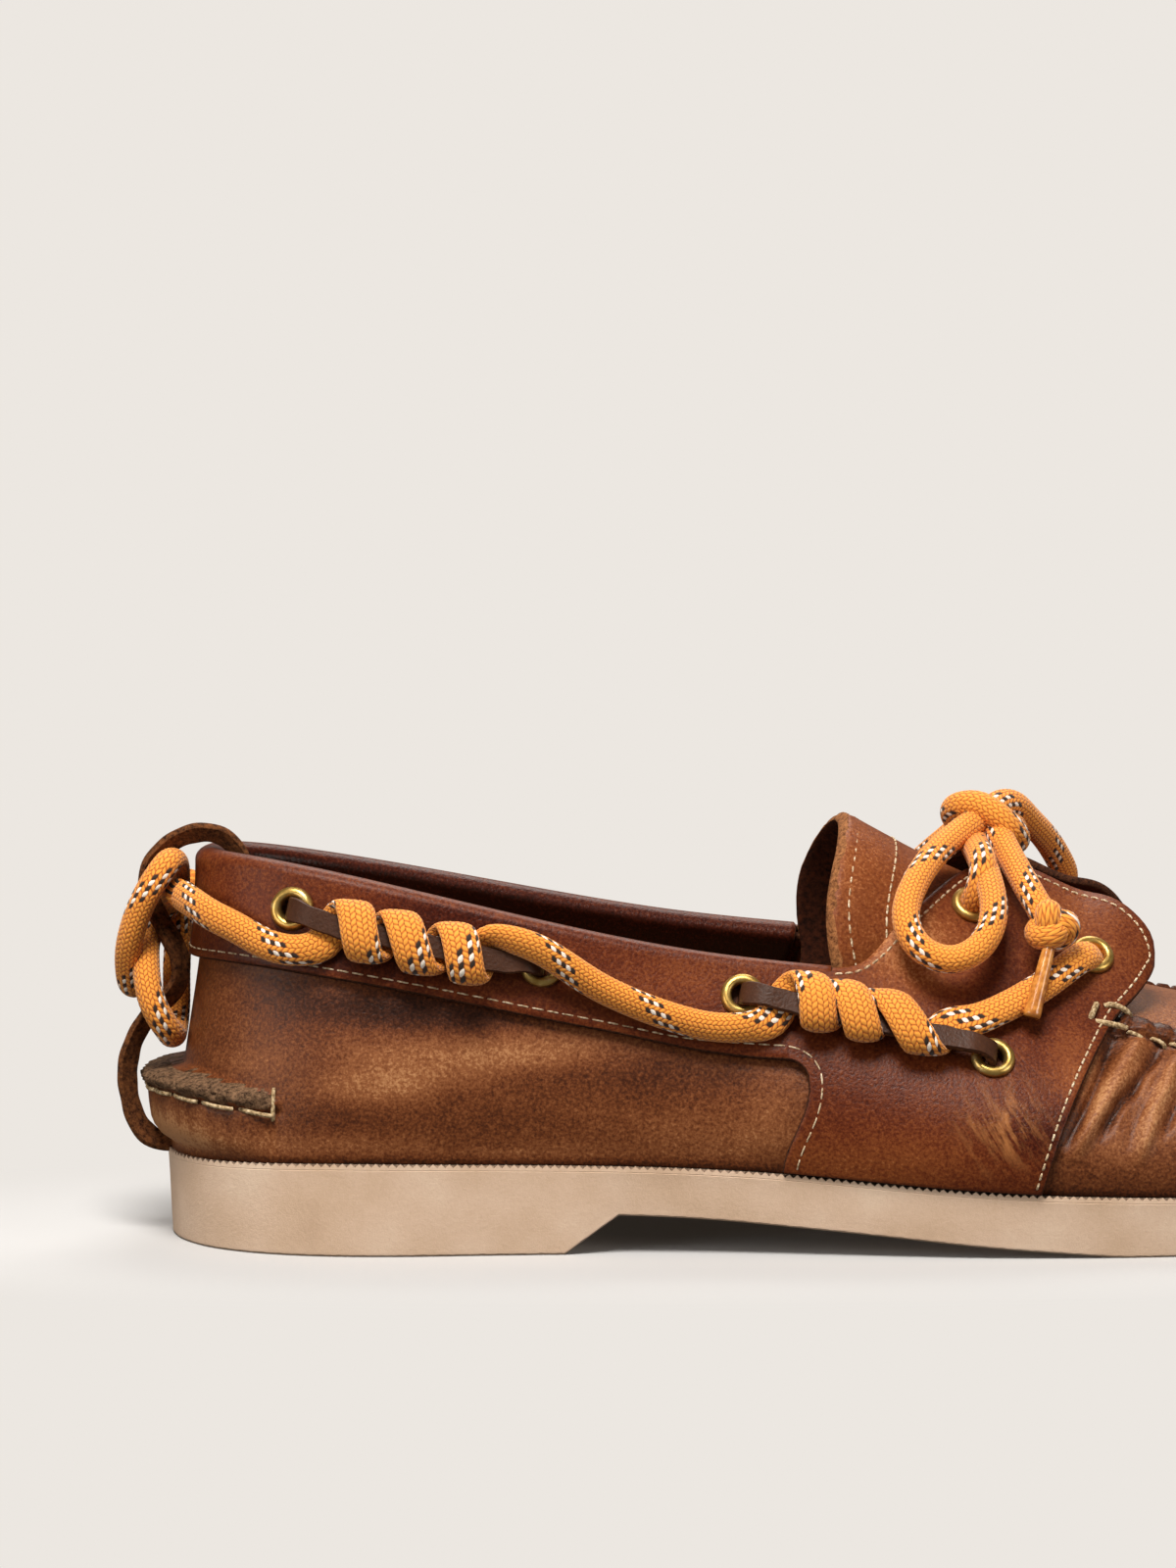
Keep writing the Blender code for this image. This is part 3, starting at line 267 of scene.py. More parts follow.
def station_knots():
    """Where the sections lie, from 0 at the back of the heel to 1 at the tip of the toe."""
    along = lengths_along(np.stack([column("x"), (column("y_out") - column("y_in")) / 2], axis=1))
    return along / along[-1], along[-1]


KNOTS, SIDE_LONG = station_knots()


def ring(out_name, in_name=None):
    """A column round the shoe. Stations run 0 to 1 along the outer side and 0 to -1 along the inner side."""
    out_side, in_side = column(out_name), column(in_name or out_name)
    knots = np.concatenate([KNOTS, 2 - KNOTS[-2:0:-1]])
    return spline(knots, np.concatenate([out_side, in_side[-2:0:-1]]), 2.0)


RING = {name: ring(name) for name in ("x", "x_top", "flare", "lean", "band")}
RING |= {name: ring(f"{name}_out", f"{name}_in") for name in ("y", "y_top", "z_top")}
sole_top = table_curve(SOLE_TOP)
print("the last is", round(SIDE_LONG), "mm round one side")


def station_at(x):
    """The station whose feather line is at x."""
    stations = np.linspace(0, 1, 2001)
    return float(np.interp(x, RING["x"](stations), stations))


def run_on(stations, *names, small=1e-4):
    """The level direction in which a line of the last runs on, given its two columns."""
    return unit(np.stack([RING[k](stations + small) - RING[k](stations - small) for k in names], axis=-1))


def out_of(stations):
    """The direction out of the shoe, level, at the feather line."""
    along = run_on(stations, "x", "y")
    return np.stack([along[..., 1], -along[..., 0], np.zeros_like(along[..., 0])], axis=-1)


# %% The wall's curves
WALL_HANDLES, WALL_SLANTS = (0.38, 0.36), (0.6, 1.3)  # how the curve leaves the sole and arrives at the top
WALL_STEPS = 48


def wall_lines(stations):
    """The wall's curve at each station, from the feather line to the top, as (stations, steps, 3)."""
    stations = np.asarray(stations, float)
    x = RING["x"](stations)
    foot = np.stack([x, RING["y"](stations), sole_top(x) + GAP], axis=-1)
    top = np.stack([RING[k](stations) for k in ("x_top", "y_top", "z_top")], axis=-1)
    outward, up = out_of(stations), np.array([0.0, 0.0, 1.0])
    along = np.cross(outward, up)
    reach = np.linalg.norm(top - foot, axis=-1, keepdims=True)
    slant = np.sum((top - foot) * along, axis=-1, keepdims=True) / reach
    flare, lean = (np.radians(RING[k](stations))[..., None] for k in ("flare", "lean"))
    leave = unit(up * np.cos(flare) + outward * np.sin(flare) + along * slant * WALL_SLANTS[0])
    arrive = unit(up * np.cos(lean) - outward * np.sin(lean) + along * slant * WALL_SLANTS[1])
    first, second = foot + leave * reach * WALL_HANDLES[0], top - arrive * reach * WALL_HANDLES[1]
    t = np.linspace(0, 1, WALL_STEPS)[:, None]
    return bezier(foot[:, None], first[:, None], second[:, None], top[:, None], t)


def along_lines(lines, shares):
    """Points at shares of the length of each line, and the lengths. shares is (stations, rows)."""
    found, lengths = [], []
    for line, share in zip(lines, shares):
        run = lengths_along(line)
        found.append(straight(share * run[-1], run, line))
        lengths.append(run[-1])
    return np.array(found), np.array(lengths)


def wall_grid(stations, rows):
    """Points of the upper's outer face and their heights. Rows 0 to 1 are below the band and 1 to 2 on it."""
    stations = np.asarray(stations, float)
    rows = np.broadcast_to(rows, (len(stations), np.shape(rows)[-1])).astype(float)
    lines = wall_lines(stations)
    lengths = along_lines(lines, np.ones((len(stations), 1)))[1]
    band = (1 - RING["band"](stations) / lengths)[:, None]
    shares = np.where(rows <= 1, rows * band, band + (rows - 1) * (1 - band))
    return along_lines(lines, shares)[0], shares * lengths[:, None]


def wall_normals(stations, rows):
    """The direction out of the wall at each station and row."""
    small, stations = 0.002, np.asarray(stations, float)
    rows = np.broadcast_to(rows, (len(stations), np.shape(rows)[-1])).astype(float)
    beside = wall_grid(stations + small, rows)[0] - wall_grid(stations - small, rows)[0]
    higher, lower = np.minimum(rows + 0.02, 2), np.maximum(rows - 0.02, 0)
    above = wall_grid(stations, higher)[0] - wall_grid(stations, lower)[0]
    return unit(np.cross(beside, above))


# %% The plug's crown
PLUG_CROWN = (
    (186, 54.2), (196, 51), (204, 48.7), (212, 46.8), (230, 43.6), (250, 41.6), (270, 39.2), (285.5, 35.6),
)
PLUG_FROM, PLUG_ROUND = 150, 2.2
plug_crown = table_curve(PLUG_CROWN)


def plug_height(x, y):
    """The plug's surface inside the moc seam: a crown whose sides fall away to the seam."""
    stations = np.linspace(station_at(PLUG_FROM), 1, 200)
    edges = {k: np.interp(x, RING["x_top"](stations), RING[k](stations)) for k in ("y_top", "z_top")}
    inner = {k: np.interp(x, RING["x_top"](-stations), RING[k](-stations)) for k in ("y_top", "z_top")}
    half = np.maximum((inner["y_top"] - edges["y_top"]) / 2, 0.01)
    share = np.clip((y - (inner["y_top"] + edges["y_top"]) / 2) / half, -1, 1)
    rim = edges["z_top"] + (inner["z_top"] - edges["z_top"]) * (share + 1) / 2
    return rim + np.maximum(plug_crown(x) - rim, 0) * (1 - np.abs(share) ** PLUG_ROUND)


print(f"the plug's crown is {float(plug_height(np.array(220.0), np.array(0.0))):.1f} mm up at the ball")

# %% [markdown]
# ## Sheets of leather
#
# Leather is a sheet with a grain side, a flesh side and a cut edge between them. Each piece is laid out as
# grids of points that share their edges. The sheet is then moved out and in along its own normals, and a
# rounded rim closes its cut edges. This was chosen over a Solidify modifier because the three sides need
# three finishes and because puckers should move the grain side alone.

# %% Grids
def grid_faces(rows, columns):
    """The four-cornered faces of a grid whose points are numbered row by row."""
    corner = np.arange(rows - 1)[:, None] * columns + np.arange(columns - 1)
    return np.stack([corner, corner + columns, corner + columns + 1, corner + 1], axis=-1)


def without_repeats(faces):
    """Faces of four corners, where a triangle repeats its last one. Smaller faces are left out."""
    repeated = faces == np.roll(faces, -1, axis=1)
    whole, three = faces[repeated.sum(axis=1) == 0], faces[repeated.sum(axis=1) == 1]
    at = np.argmax(three == np.roll(three, -1, axis=1), axis=1)
    corners = [three[np.arange(len(three)), (at + step) % 4] for step in (1, 2, 3, 3)]
    found = np.concatenate([whole, np.stack(corners, axis=1)])
    return found[(found[:, 0] != found[:, 2]) & (found[:, 1] != found[:, 3])]


def corner_lists(faces):
    """Faces as lists of corners, where a triangle no longer repeats its last one."""
    faces = faces.tolist() if isinstance(faces, np.ndarray) else faces
    return [face[:3] if face[2] == face[-1] else face for face in faces]


def point_normals(points, faces):
    """The direction out of a surface at each point, weighed by the faces round it."""
    a, b, c, d = (points[faces[:, k]] for k in range(4))
    normals = np.zeros_like(points)
    np.add.at(normals, faces.ravel(), np.repeat(np.cross(c - a, d - b), 4, axis=0))
    return unit(normals)


# %% Sheets
class Sheet:
    """A surface put together from grids that share their edges.

    Lifts move its grain side, and each named value is kept for every point."""

    def __init__(self, *names):
        self.points, self.lifts, self.faces, self.count = [], [], [], 0
        self.values = {name: [] for name in names}

    def add_grid(self, grid, lifts=None, cells=None, **values):
        shape = grid.shape[:2]
        faces = grid_faces(*shape)
        self.faces.append((faces if cells is None else faces[cells]).reshape(-1, 4) + self.count)
        self.points.append(grid.reshape(-1, 3))
        self.lifts.append((np.zeros_like(grid) if lifts is None else lifts).reshape(-1, 3))
        for name, parts in self.values.items():
            parts.append(np.broadcast_to(values.get(name, 0.0), shape).reshape(-1))
        self.count += shape[0] * shape[1]

    def joined(self):
        """Points, lifts, values and faces, with the points that share a place made one."""
        points = np.concatenate(self.points)
        _, first, index = np.unique(np.round(points / 0.002), axis=0, return_index=True, return_inverse=True)
        faces = without_repeats(index.reshape(-1)[np.concatenate(self.faces)])
        used, renumbered = np.unique(faces, return_inverse=True)
        keep = first[used]
        values = {name: np.concatenate(parts)[keep] for name, parts in self.values.items()}
        return points[keep], np.concatenate(self.lifts)[keep], values, renumbered.reshape(-1, 4)


def punched(points, faces, holes, radius):
    """The faces left when round holes are cut. Each hole is a centre and the direction through it."""
    middle = points[faces].mean(axis=1)
    keep = np.ones(len(faces), bool)
    for centre, axis in holes:
        apart = middle - centre
        level = apart - (apart @ axis)[:, None] * axis
        keep &= (np.linalg.norm(level, axis=1) > radius) | (np.linalg.norm(apart, axis=1) > 3 * radius)
    return faces[keep]


# %% Thickness
RIM_STEPS, RIM_BULGE = 4, 0.35
GRAIN, FLESH, CUT, RAW = 0, 1, 2, 3


def thickened(sheet, over, under, holes=(), hole_radius=0.0):
    """A sheet moved out by over and in by under, with rounded rims.

    Gives its points, values and faces, and the side of the leather that each face is on."""
    points, lifts, values, faces = sheet.joined()
    normals = point_normals(points, faces)
    faces = punched(points, faces, holes, hole_radius)
    count = len(points)
    outer, inner = points + lifts + normals * over, points - normals * under
    edges = np.stack([faces, np.roll(faces, -1, axis=1)], axis=-1).reshape(-1, 2)
    edges = edges[edges[:, 0] != edges[:, 1]]
    rim = edges[~np.isin(edges @ (count, 1), edges @ (1, count))]
    away = np.zeros_like(points)
    sideways = unit(np.cross(points[rim[:, 1]] - points[rim[:, 0]], normals[rim[:, 0]]))
    for end in (0, 1):
        np.add.at(away, rim[:, end], sideways)
    on_rim = np.unique(rim)
    place = np.zeros(count, int)
    place[on_rim] = np.arange(len(on_rim))
    rings = [
        outer[on_rim] * (1 + math.cos(turn)) / 2
        + inner[on_rim] * (1 - math.cos(turn)) / 2
        + unit(away[on_rim]) * RIM_BULGE * math.sin(turn)
        for turn in np.linspace(0, math.pi, RIM_STEPS + 1)[1:-1]
    ]
    levels = [rim] + [2 * count + k * len(on_rim) + place[rim] for k in range(len(rings))] + [rim + count]
    walls = [np.stack([b[:, 0], b[:, 1], a[:, 1], a[:, 0]], axis=1) for a, b in zip(levels, levels[1:])]
    backs = faces[:, [0, 3, 2, 1]] + count
    backs[faces[:, 2] == faces[:, 3]] = (faces[:, [0, 2, 1, 1]] + count)[faces[:, 2] == faces[:, 3]]
    found = np.concatenate([outer, inner, *rings])
    sides = np.repeat((GRAIN, FLESH, CUT), (len(faces), len(faces), len(rim) * RIM_STEPS))
    values = {
        name: np.concatenate([value, value] + [value[on_rim]] * len(rings)) for name, value in values.items()
    }
    return found, values, np.concatenate([faces, backs, *walls]), sides


# %% Finished pieces
def add_piece(name, points, faces, materials, sides=None, values=None, sharp_degrees=None):
    """An object from points in millimetres and the faces between them, its faces turned outwards."""
    mesh = bpy.data.meshes.new(name)
    mesh.from_pydata(to_world(points).tolist(), [], corner_lists(faces))
    for material in materials:
        mesh.materials.append(material)
    if sides is not None:
        mesh.polygons.foreach_set("material_index", np.minimum(sides, len(materials) - 1))
    for key, value in (values or {}).items():
        mesh.attributes.new(key, "FLOAT", "POINT").data.foreach_set("value", np.asarray(value, float))
    shape = bmesh.new()
    shape.from_mesh(mesh)
    bmesh.ops.delete(shape, geom=[vertex for vertex in shape.verts if not vertex.link_faces], context="VERTS")
    bmesh.ops.recalc_face_normals(shape, faces=shape.faces)
    shape.to_mesh(mesh)
    shape.free()
    mesh.shade_smooth()
    if sharp_degrees:
        mesh.set_sharp_from_angle(angle=math.radians(sharp_degrees))
    made = bpy.data.objects.new(name, mesh)
    scene.collection.objects.link(made)
    print(name, len(mesh.polygons), "faces")
    return made


def dress(piece, slot, *nodes):
    """Rides a piece on the shoe, and lets it stand for the solids that it replaces. Its slot is not used."""
    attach(piece, "root")
    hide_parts(*nodes)


# %% [markdown]
# ## Finishes
#
# Each material is a small tree of nodes, named for the real one. Image textures would be quicker to set up,
# but a pattern of nodes is placed by Object coordinates, so its scale comes from a real size in millimetres
# and it has no seams. `tone` is an attribute painted by the script: it is above 0 where wax has drawn out of
# the leather and left it light, and below 0 where it is dark. It carries painted light too: painted
# highlights on faces turned to the key light, and painted shade under the collar band, in creases, at the
# sole and inside the collar.

# %% Colours and nodes
def colour(sheet_value):
    """A colour written as sRGB hex, as linear numbers."""
    parts = np.array([int(sheet_value[k : k + 2], 16) for k in (1, 3, 5)]) / 255
    linear = np.where(parts <= 0.04045, parts / 12.92, ((parts + 0.055) / 1.055) ** 2.4)
    return (*linear.tolist(), 1.0)


def per(millimetres):
    """The scale of a pattern whose features are this big, on coordinates in metres."""
    return 1000 / millimetres


def set_inputs(node, inputs):
    """Sets each input of a node to a value, or joins it to an output. A node stands for its first output."""
    for socket, value in inputs.items():
        value = value.outputs[0] if isinstance(value, bpy.types.Node) else value
        if isinstance(value, bpy.types.NodeSocket):
            node.id_data.links.new(value, node.inputs[socket])
        else:
            node.inputs[socket].default_value = value


def add_node(tree, kind, inputs=None, stops=(), **settings):
    """A node with its settings, inputs and links. It is a shader node unless its kind says otherwise.

    stops are a colour ramp's rows of place and hex colour."""
    made = tree.nodes.new(kind if "Node" in kind else f"ShaderNode{kind}")
    for name, value in settings.items():
        setattr(made, name, value)
    set_inputs(made, inputs or {})
    if stops:
        points = made.color_ramp.elements
        points[0].position, points[0].color = stops[0][0], colour(stops[0][1])
        points[1].position, points[1].color = stops[-1][0], colour(stops[-1][1])
        for place, value in stops[1:-1]:
            points.new(place).color = colour(value)
    return made


def new_material(name, roughness, gleam=0.5, **constants):
    """A material, what adds a node to its tree, its Principled shader, and Object coordinates.

    Gleam is how strongly it mirrors, and constants are the shader's other inputs."""
    material = bpy.data.materials.new(name)
    material.use_nodes = True
    shader = material.node_tree.nodes["Principled BSDF"]
    set_inputs(shader, {key.replace("_", " "): value for key, value in constants.items()})
    set_inputs(shader, {"Roughness": roughness, "Specular IOR Level": gleam})
    add = partial(add_node, material.node_tree)
    return material, add, shader, add("TexCoord").outputs["Object"]


print("mid grey is", round(colour("#808080")[0], 3), "in linear light")


# %% Leather
WORN_COLOUR = "#9c6438"  # where a scuff has drawn the wax out


def pull_up_leather(name, stops, roughness, speckle=0.3, gleam=0.2):
    """Waxed pull-up leather: dark and glossy where the wax lies, light and dull where it is drawn out.

    Clouds are a hide's own shading, marks are handling, and dots are pores, coarse enough to show. The tone
    attribute adds painted highlights and painted shade to the same sum."""
    material, add, shader, place = new_material(name, roughness, gleam)
    tone, scuff = (
        add("Attribute", attribute_name=key).outputs["Fac"] for key in ("tone", "scuff")
    )
    clouds, marks, dots = (
        add("TexNoise", {"Vector": place, "Scale": per(size), "Detail": detail, "Roughness": harshness})
        for size, detail, harshness in ((26, 3.0, 0.5), (5, 5.0, 0.7), (0.65, 2.0, 0.7))
    )
    shade = 0.27 - speckle / 2  # brings the middle of the sum to 0.5
    for source, share in ((clouds, 0.24), (marks, 0.22), (dots, speckle), (tone, 0.5)):
        shade = add("Math", {0: source, 1: share, 2: shade}, operation="MULTIPLY_ADD")
    wax = add("ValToRGB", {"Fac": shade}, stops)
    drawn = add("Mapping", {
        "Vector": place, "Rotation": (0.0, -0.5, 0.0), "Scale": (0.22, 1.0, 1.0),
    }, vector_type="TEXTURE")
    streaks = add("TexNoise", {"Vector": drawn, "Scale": per(10), "Detail": 5.0, "Roughness": 0.72})
    worn = add("MapRange", {"Value": streaks, "From Min": 0.47, "From Max": 0.66})
    worn = add("Math", {0: worn, 1: scuff}, operation="MULTIPLY")
    whole = add("Mix", {"Factor": worn, 6: wax, 7: colour(WORN_COLOUR)}, data_type="RGBA")
    gloss = add("MapRange", {
        "Value": shade, "From Min": 0.15, "From Max": 0.9,
        "To Min": roughness - 0.06, "To Max": roughness + 0.16,
    })
    pores = add("TexVoronoi", {"Vector": place, "Scale": per(0.8), "Randomness": 1.0})
    relief = add("Math", {0: pores, 1: 0.3, 2: dots}, operation="MULTIPLY_ADD")
    bump = add("Bump", {"Height": relief, "Strength": 0.6, "Distance": 0.00018})
    set_inputs(shader, {"Base Color": whole.outputs[2], "Roughness": gloss, "Normal": bump})
    return material


SADDLE_STOPS = ((0.0, "#1c0803"), (0.28, "#3a1308"), (0.5, "#5c2811"), (0.75, "#7e431f"), (1.0, "#b07548"))
UPPER_STOPS = ((0.0, "#200c05"), (0.28, "#42200f"), (0.5, "#653519"), (0.75, "#86512e"), (1.0, "#b07d52"))
THONG_STOPS = ((0.0, "#150905"), (0.35, "#2e180d"), (0.6, "#4a2b1a"), (1.0, "#7c563c"))
INSOLE_STOPS = ((0.0, "#4b2b18"), (0.4, "#7d5432"), (0.7, "#9a6d45"), (1.0, "#b98c60"))
saddle_leather = pull_up_leather("saddle_pull_up_leather", SADDLE_STOPS, 0.36, 0.8, 0.15)
upper_leather = pull_up_leather("upper_pull_up_leather", UPPER_STOPS, 0.4, 1.0)
thong_grain = pull_up_leather("thong_grain_side", THONG_STOPS, 0.42, 0.3)
insole_leather = pull_up_leather("insole_vegetable_leather", INSOLE_STOPS, 0.6)
print("leathers", saddle_leather.name, upper_leather.name, thong_grain.name, insole_leather.name)


# %% Suede and cut edges
def suede(name, dark, light, fibre=0.35):
    """The flesh side or a cut edge of leather, split or skived: short fibres that scatter light, no gloss."""
    material, add, shader, place = new_material(name, 0.9, 0.15)
    fibres = add("TexNoise", {"Vector": place, "Scale": per(fibre * 2), "Detail": 6.0, "Roughness": 0.8})
    nap = add("ValToRGB", {"Fac": fibres}, ((0.38, dark), (0.62, light)))
    bump = add("Bump", {"Height": fibres, "Strength": 0.8, "Distance": 0.0004})
    set_inputs(shader, {"Base Color": nap, "Normal": bump})
    return material


# The flesh side's dark colours are partly its own brown and partly painted shade, as it lies inside the shoe
# and under the tongue.
flesh_side = suede("leather_flesh_side", "#1b0a05", "#4d2513", 0.6)
cut_edge = suede("leather_cut_edge", "#1d0c07", "#55301c")
thong_suede = suede("thong_flesh_side", "#241007", "#7a4a28", 0.5)
raw_edge = suede("heel_raw_edge", "#22150c", "#83644a", 0.55)
tongue_edge = suede("tongue_raw_edge", "#4a2614", "#ab7245", 0.45)
print("edges", flesh_side.name, cut_edge.name, thong_suede.name, raw_edge.name, tongue_edge.name)

# %% Rubber, brass, thread and film
def crepe_rubber():
    """Pale crepe rubber, cut from a sheet: matt, granular, painted darker at its top edge as shade, and a
    little grimy at the bottom edge.
    """
    material, add, shader, place = new_material("crepe_rubber", 0.82, 0.3)
    # soil is painted shade at the top edge, between the teeth where they meet the upper, and grime at the
    # underside.
    soil = add("Attribute", attribute_name="soil").outputs["Fac"]
    clouds = add("TexNoise", {"Vector": place, "Scale": per(18), "Detail": 4.0})
    grit = add("TexNoise", {"Vector": place, "Scale": per(0.9), "Detail": 5.0, "Roughness": 0.8})
    shade = add("Math", {0: grit, 1: 0.45, 2: clouds}, operation="MULTIPLY_ADD")
    stops = ((0.4, "#c1a287"), (0.62, "#ceb095"), (0.8, "#d6b9a0"), (1.0, "#dfc6ae"))
    pale = add("ValToRGB", {"Fac": shade}, stops)
    smudge = add("Math", {0: grit, 1: 1.4}, operation="MULTIPLY")
    dirt_and_shade = add("Math", {0: soil, 1: smudge}, operation="MULTIPLY", use_clamp=True)
    whole = add("Mix", {"Factor": dirt_and_shade, 6: pale, 7: colour("#2c190f")}, data_type="RGBA")
    bump = add("Bump", {"Height": grit, "Strength": 0.45, "Distance": 0.0003})
    set_inputs(shader, {"Base Color": whole.outputs[2], "Normal": bump})
    return material


def turned_brass():
    """Brass turned and lightly brushed: a warm metal whose gloss breaks up in fine wear marks."""
    material, add, shader, place = new_material("brushed_brass", 0.34, Metallic=0.9)
    tarnish = add("TexNoise", {"Vector": place, "Scale": per(2.5), "Detail": 4.0})
    stops = ((0.3, "#a57f3a"), (0.6, "#cdab62"), (0.8, "#ead59d"))
    metal = add("ValToRGB", {"Fac": tarnish}, stops)
    gloss = add("MapRange", {"Value": tarnish, "To Min": 0.28, "To Max": 0.44})
    set_inputs(shader, {"Base Color": metal, "Roughness": gloss})
    return material


def waxed_thread(name, dark, mid, light):
    """Linen thread, waxed and twisted: pale and dull, with painted shade between its plies."""
    material, add, shader, place = new_material(name, 0.7, 0.3)
    twist = add("TexNoise", {"Vector": place, "Scale": per(0.6), "Detail": 3.0})
    plies = add("ValToRGB", {"Fac": twist}, ((0.35, dark), (0.5, mid), (0.65, light)))
    bump = add("Bump", {"Height": twist, "Strength": 0.5, "Distance": 0.0002})
    set_inputs(shader, {"Base Color": plies, "Normal": bump})
    return material


def acetate_film():
    """The film of an aglet, shrunk over the lace: smooth and glossy, with the lace's colour under it."""
    material, add, shader, place = new_material("acetate_film", 0.16, Coat_Weight=0.6, Coat_Roughness=0.08)
    folds = add("TexNoise", {"Vector": place, "Scale": per(1.6), "Detail": 2.0})
    stops = ((0.3, "#9c5a24"), (0.55, "#c98238"), (0.8, "#e3a862"))
    film = add("ValToRGB", {"Fac": folds}, stops)
    set_inputs(shader, {"Base Color": film})
    return material


sole_rubber, brass, aglet_film = crepe_rubber(), turned_brass(), acetate_film()
machine_thread = waxed_thread("machine_linen_thread", "#83694b", "#bfa785", "#e0d0b4")
hand_thread = waxed_thread("hand_sewing_thread", "#6e5637", "#a98e68", "#cdb792")
print("materials", len(bpy.data.materials))

# %% [markdown]
# ## The braid
#
# The lace is braided over a core. Its strands cross in twenty columns, each strand a slanting ridge, and
# every second column shows a run of five strands in black and white, which winds round the lace. An array of
# real strands would need far more mesh than it shows, and a bump alone would leave the lace's outline
# smooth. So the ridges are mesh, and the material works out the same columns from the tube's UV map, where U
# counts ridges along the lace and V counts columns round it.

# %% Braid
BRAID_COLUMNS, BRAID_RIDGE = 20, 1.12  # columns round the lace, and millimetres from ridge to ridge
BRAID_HIGH, BRAID_SLANT = 0.15, 0.5
FLECK_RUN, FLECK_REPEAT = 5, 20  # ridges in a run of black and white, and from one run to the next


def braid_height(u, v):
    """How far the braid stands out at u ridges along the lace and v columns round it."""
    column = np.floor(v)
    odd = np.mod(column, 2)
    across = v - column - 0.5
    ridge = np.abs(np.cos(math.pi * (u + odd / 2 + (1 - 2 * odd) * across * BRAID_SLANT)))
    return BRAID_HIGH * (np.sqrt(ridge) * (1 - (2 * across) ** 4 * 0.7) - 0.6)


# %% The braid's finish
BRAID_SUMS = (  # what is worked out, how, and from what
    ("column", "FLOOR", "v"), ("odd", "FLOORED_MODULO", "column", 2.0),
    ("way", "MULTIPLY_ADD", "odd", -2.0, 1.0), ("part", "FRACT", "v"), ("across", "SUBTRACT", "part", 0.5),
    ("slant", "MULTIPLY", "way", "across"), ("start", "MULTIPLY_ADD", "odd", 0.5, "u"),
    ("phase", "MULTIPLY_ADD", "slant", BRAID_SLANT, "start"), ("angle", "MULTIPLY", "phase", math.pi),
    ("wave", "COSINE", "angle"), ("ridge", "ABSOLUTE", "wave"),
    ("off", "ABSOLUTE", "across"), ("side", "MULTIPLY", "off", 2.0), ("gap", "POWER", "side", 4.0),
    ("strand", "MULTIPLY_ADD", "gap", -0.75, "ridge"),
    ("near", "ADD", "phase", 0.5), ("whole", "FLOOR", "near"), ("number", "ADD", "whole", "column"),
    ("run", "FLOORED_MODULO", "number", FLECK_REPEAT), ("flecked", "LESS_THAN", "run", FLECK_RUN - 0.5),
    ("even", "LESS_THAN", "odd", 0.5), ("fleck", "MULTIPLY", "flecked", "even"),
    ("second", "FLOORED_MODULO", "run", 2.0), ("white", "GREATER_THAN", "second", 0.5),
    ("fibrous", "MULTIPLY_ADD", "fibres", 0.3, "strand"), ("shade", "MULTIPLY_ADD", "soil", 0.35, "fibrous"),
)
# The lace's ramp runs from painted shade in the gaps between strands up to the strands' crests.
LACE_STOPS = ((0.0, "#6e3209"), (0.35, "#b5611b"), (0.8, "#dc832b"), (1.25, "#ea9a38"))
FLECK_BLACK, FLECK_WHITE = "#2b1d12", "#ece1d2"


def braided_cord():
    """Braided polyester: soft matt strands with painted shade between them, a few of them black or white."""
    material, add, shader, place = new_material("braided_polyester_lace", 0.8, 0.3, Sheen_Weight=0.2)
    braid = add("UVMap", uv_map="braid")
    split = add("SeparateXYZ", {0: braid})
    fibres = add("TexNoise", {"Vector": place, "Scale": per(0.45), "Detail": 3.0})
    soil = add("TexNoise", {"Vector": place, "Scale": per(14), "Detail": 2.0})
    known = {"u": split, "v": split.outputs["Y"]}
    known |= {"fibres": fibres, "soil": soil}
    for name, operation, *given in BRAID_SUMS:
        inputs = {number: known.get(value, value) for number, value in enumerate(given)}
        known[name] = add("Math", inputs, operation=operation)
    orange = add("ValToRGB", {"Fac": known["shade"]}, LACE_STOPS)
    checks = add("Mix", {
        "Factor": known["white"], 6: colour(FLECK_BLACK), 7: colour(FLECK_WHITE),
    }, data_type="RGBA").outputs[2]
    body = add("MapRange", {"Value": known["strand"], "From Min": -0.1, "From Max": 0.22})
    shown = add("Math", {0: body, 1: known["fleck"]}, operation="MULTIPLY")
    strands = add("Mix", {"Factor": shown, 6: orange, 7: checks}, data_type="RGBA")
    bump = add("Bump", {"Height": known["shade"], "Strength": 0.5, "Distance": 0.0002})
    set_inputs(shader, {"Base Color": strands.outputs[2], "Normal": bump})
    return material


lace_cord = braided_cord()
print(lace_cord.name, len(lace_cord.node_tree.nodes), "nodes")


# %% Tubes
def carried_across(points, first):
    """A direction across a line at each of its points, carried along without twist."""
    along = unit(np.gradient(points, axis=0))
    across = [unit(first - along[0] * (first @ along[0]))]
    for tangent in along[1:]:
        across.append(unit(across[-1] - tangent * (across[-1] @ tangent)))
    return np.array(across)


def squared(points, across):
    """Directions across and out of a line, at right angles to it."""
    along = unit(np.gradient(points, axis=0))
    across = unit(across - np.sum(across * along, axis=1, keepdims=True) * along)
    return across, np.cross(across, along)


def tube_rings(points, across, wide, thick, around, relief=0.0):
    """Rings of an oval tube along points, their width in the direction across, with relief added."""
    across, out = squared(points, across)
    wide, thick = (np.broadcast_to(size, len(points))[:, None] for size in (wide, thick))
    turn = np.arange(around) * 2 * math.pi / around
    level = ((wide + relief) * np.cos(turn))[..., None] * across[:, None]
    return points[:, None] + level + ((thick + relief) * np.sin(turn))[..., None] * out[:, None]


def tube_faces(count, around):
    """The four-cornered faces round a tube's wall."""
    ring = np.arange(around)
    after = (ring + 1) % around
    start = np.arange(count - 1)[:, None] * around
    walls = np.stack([start + ring, start + after, start + around + after, start + around + ring], axis=-1)
    return walls.reshape(-1, 4)


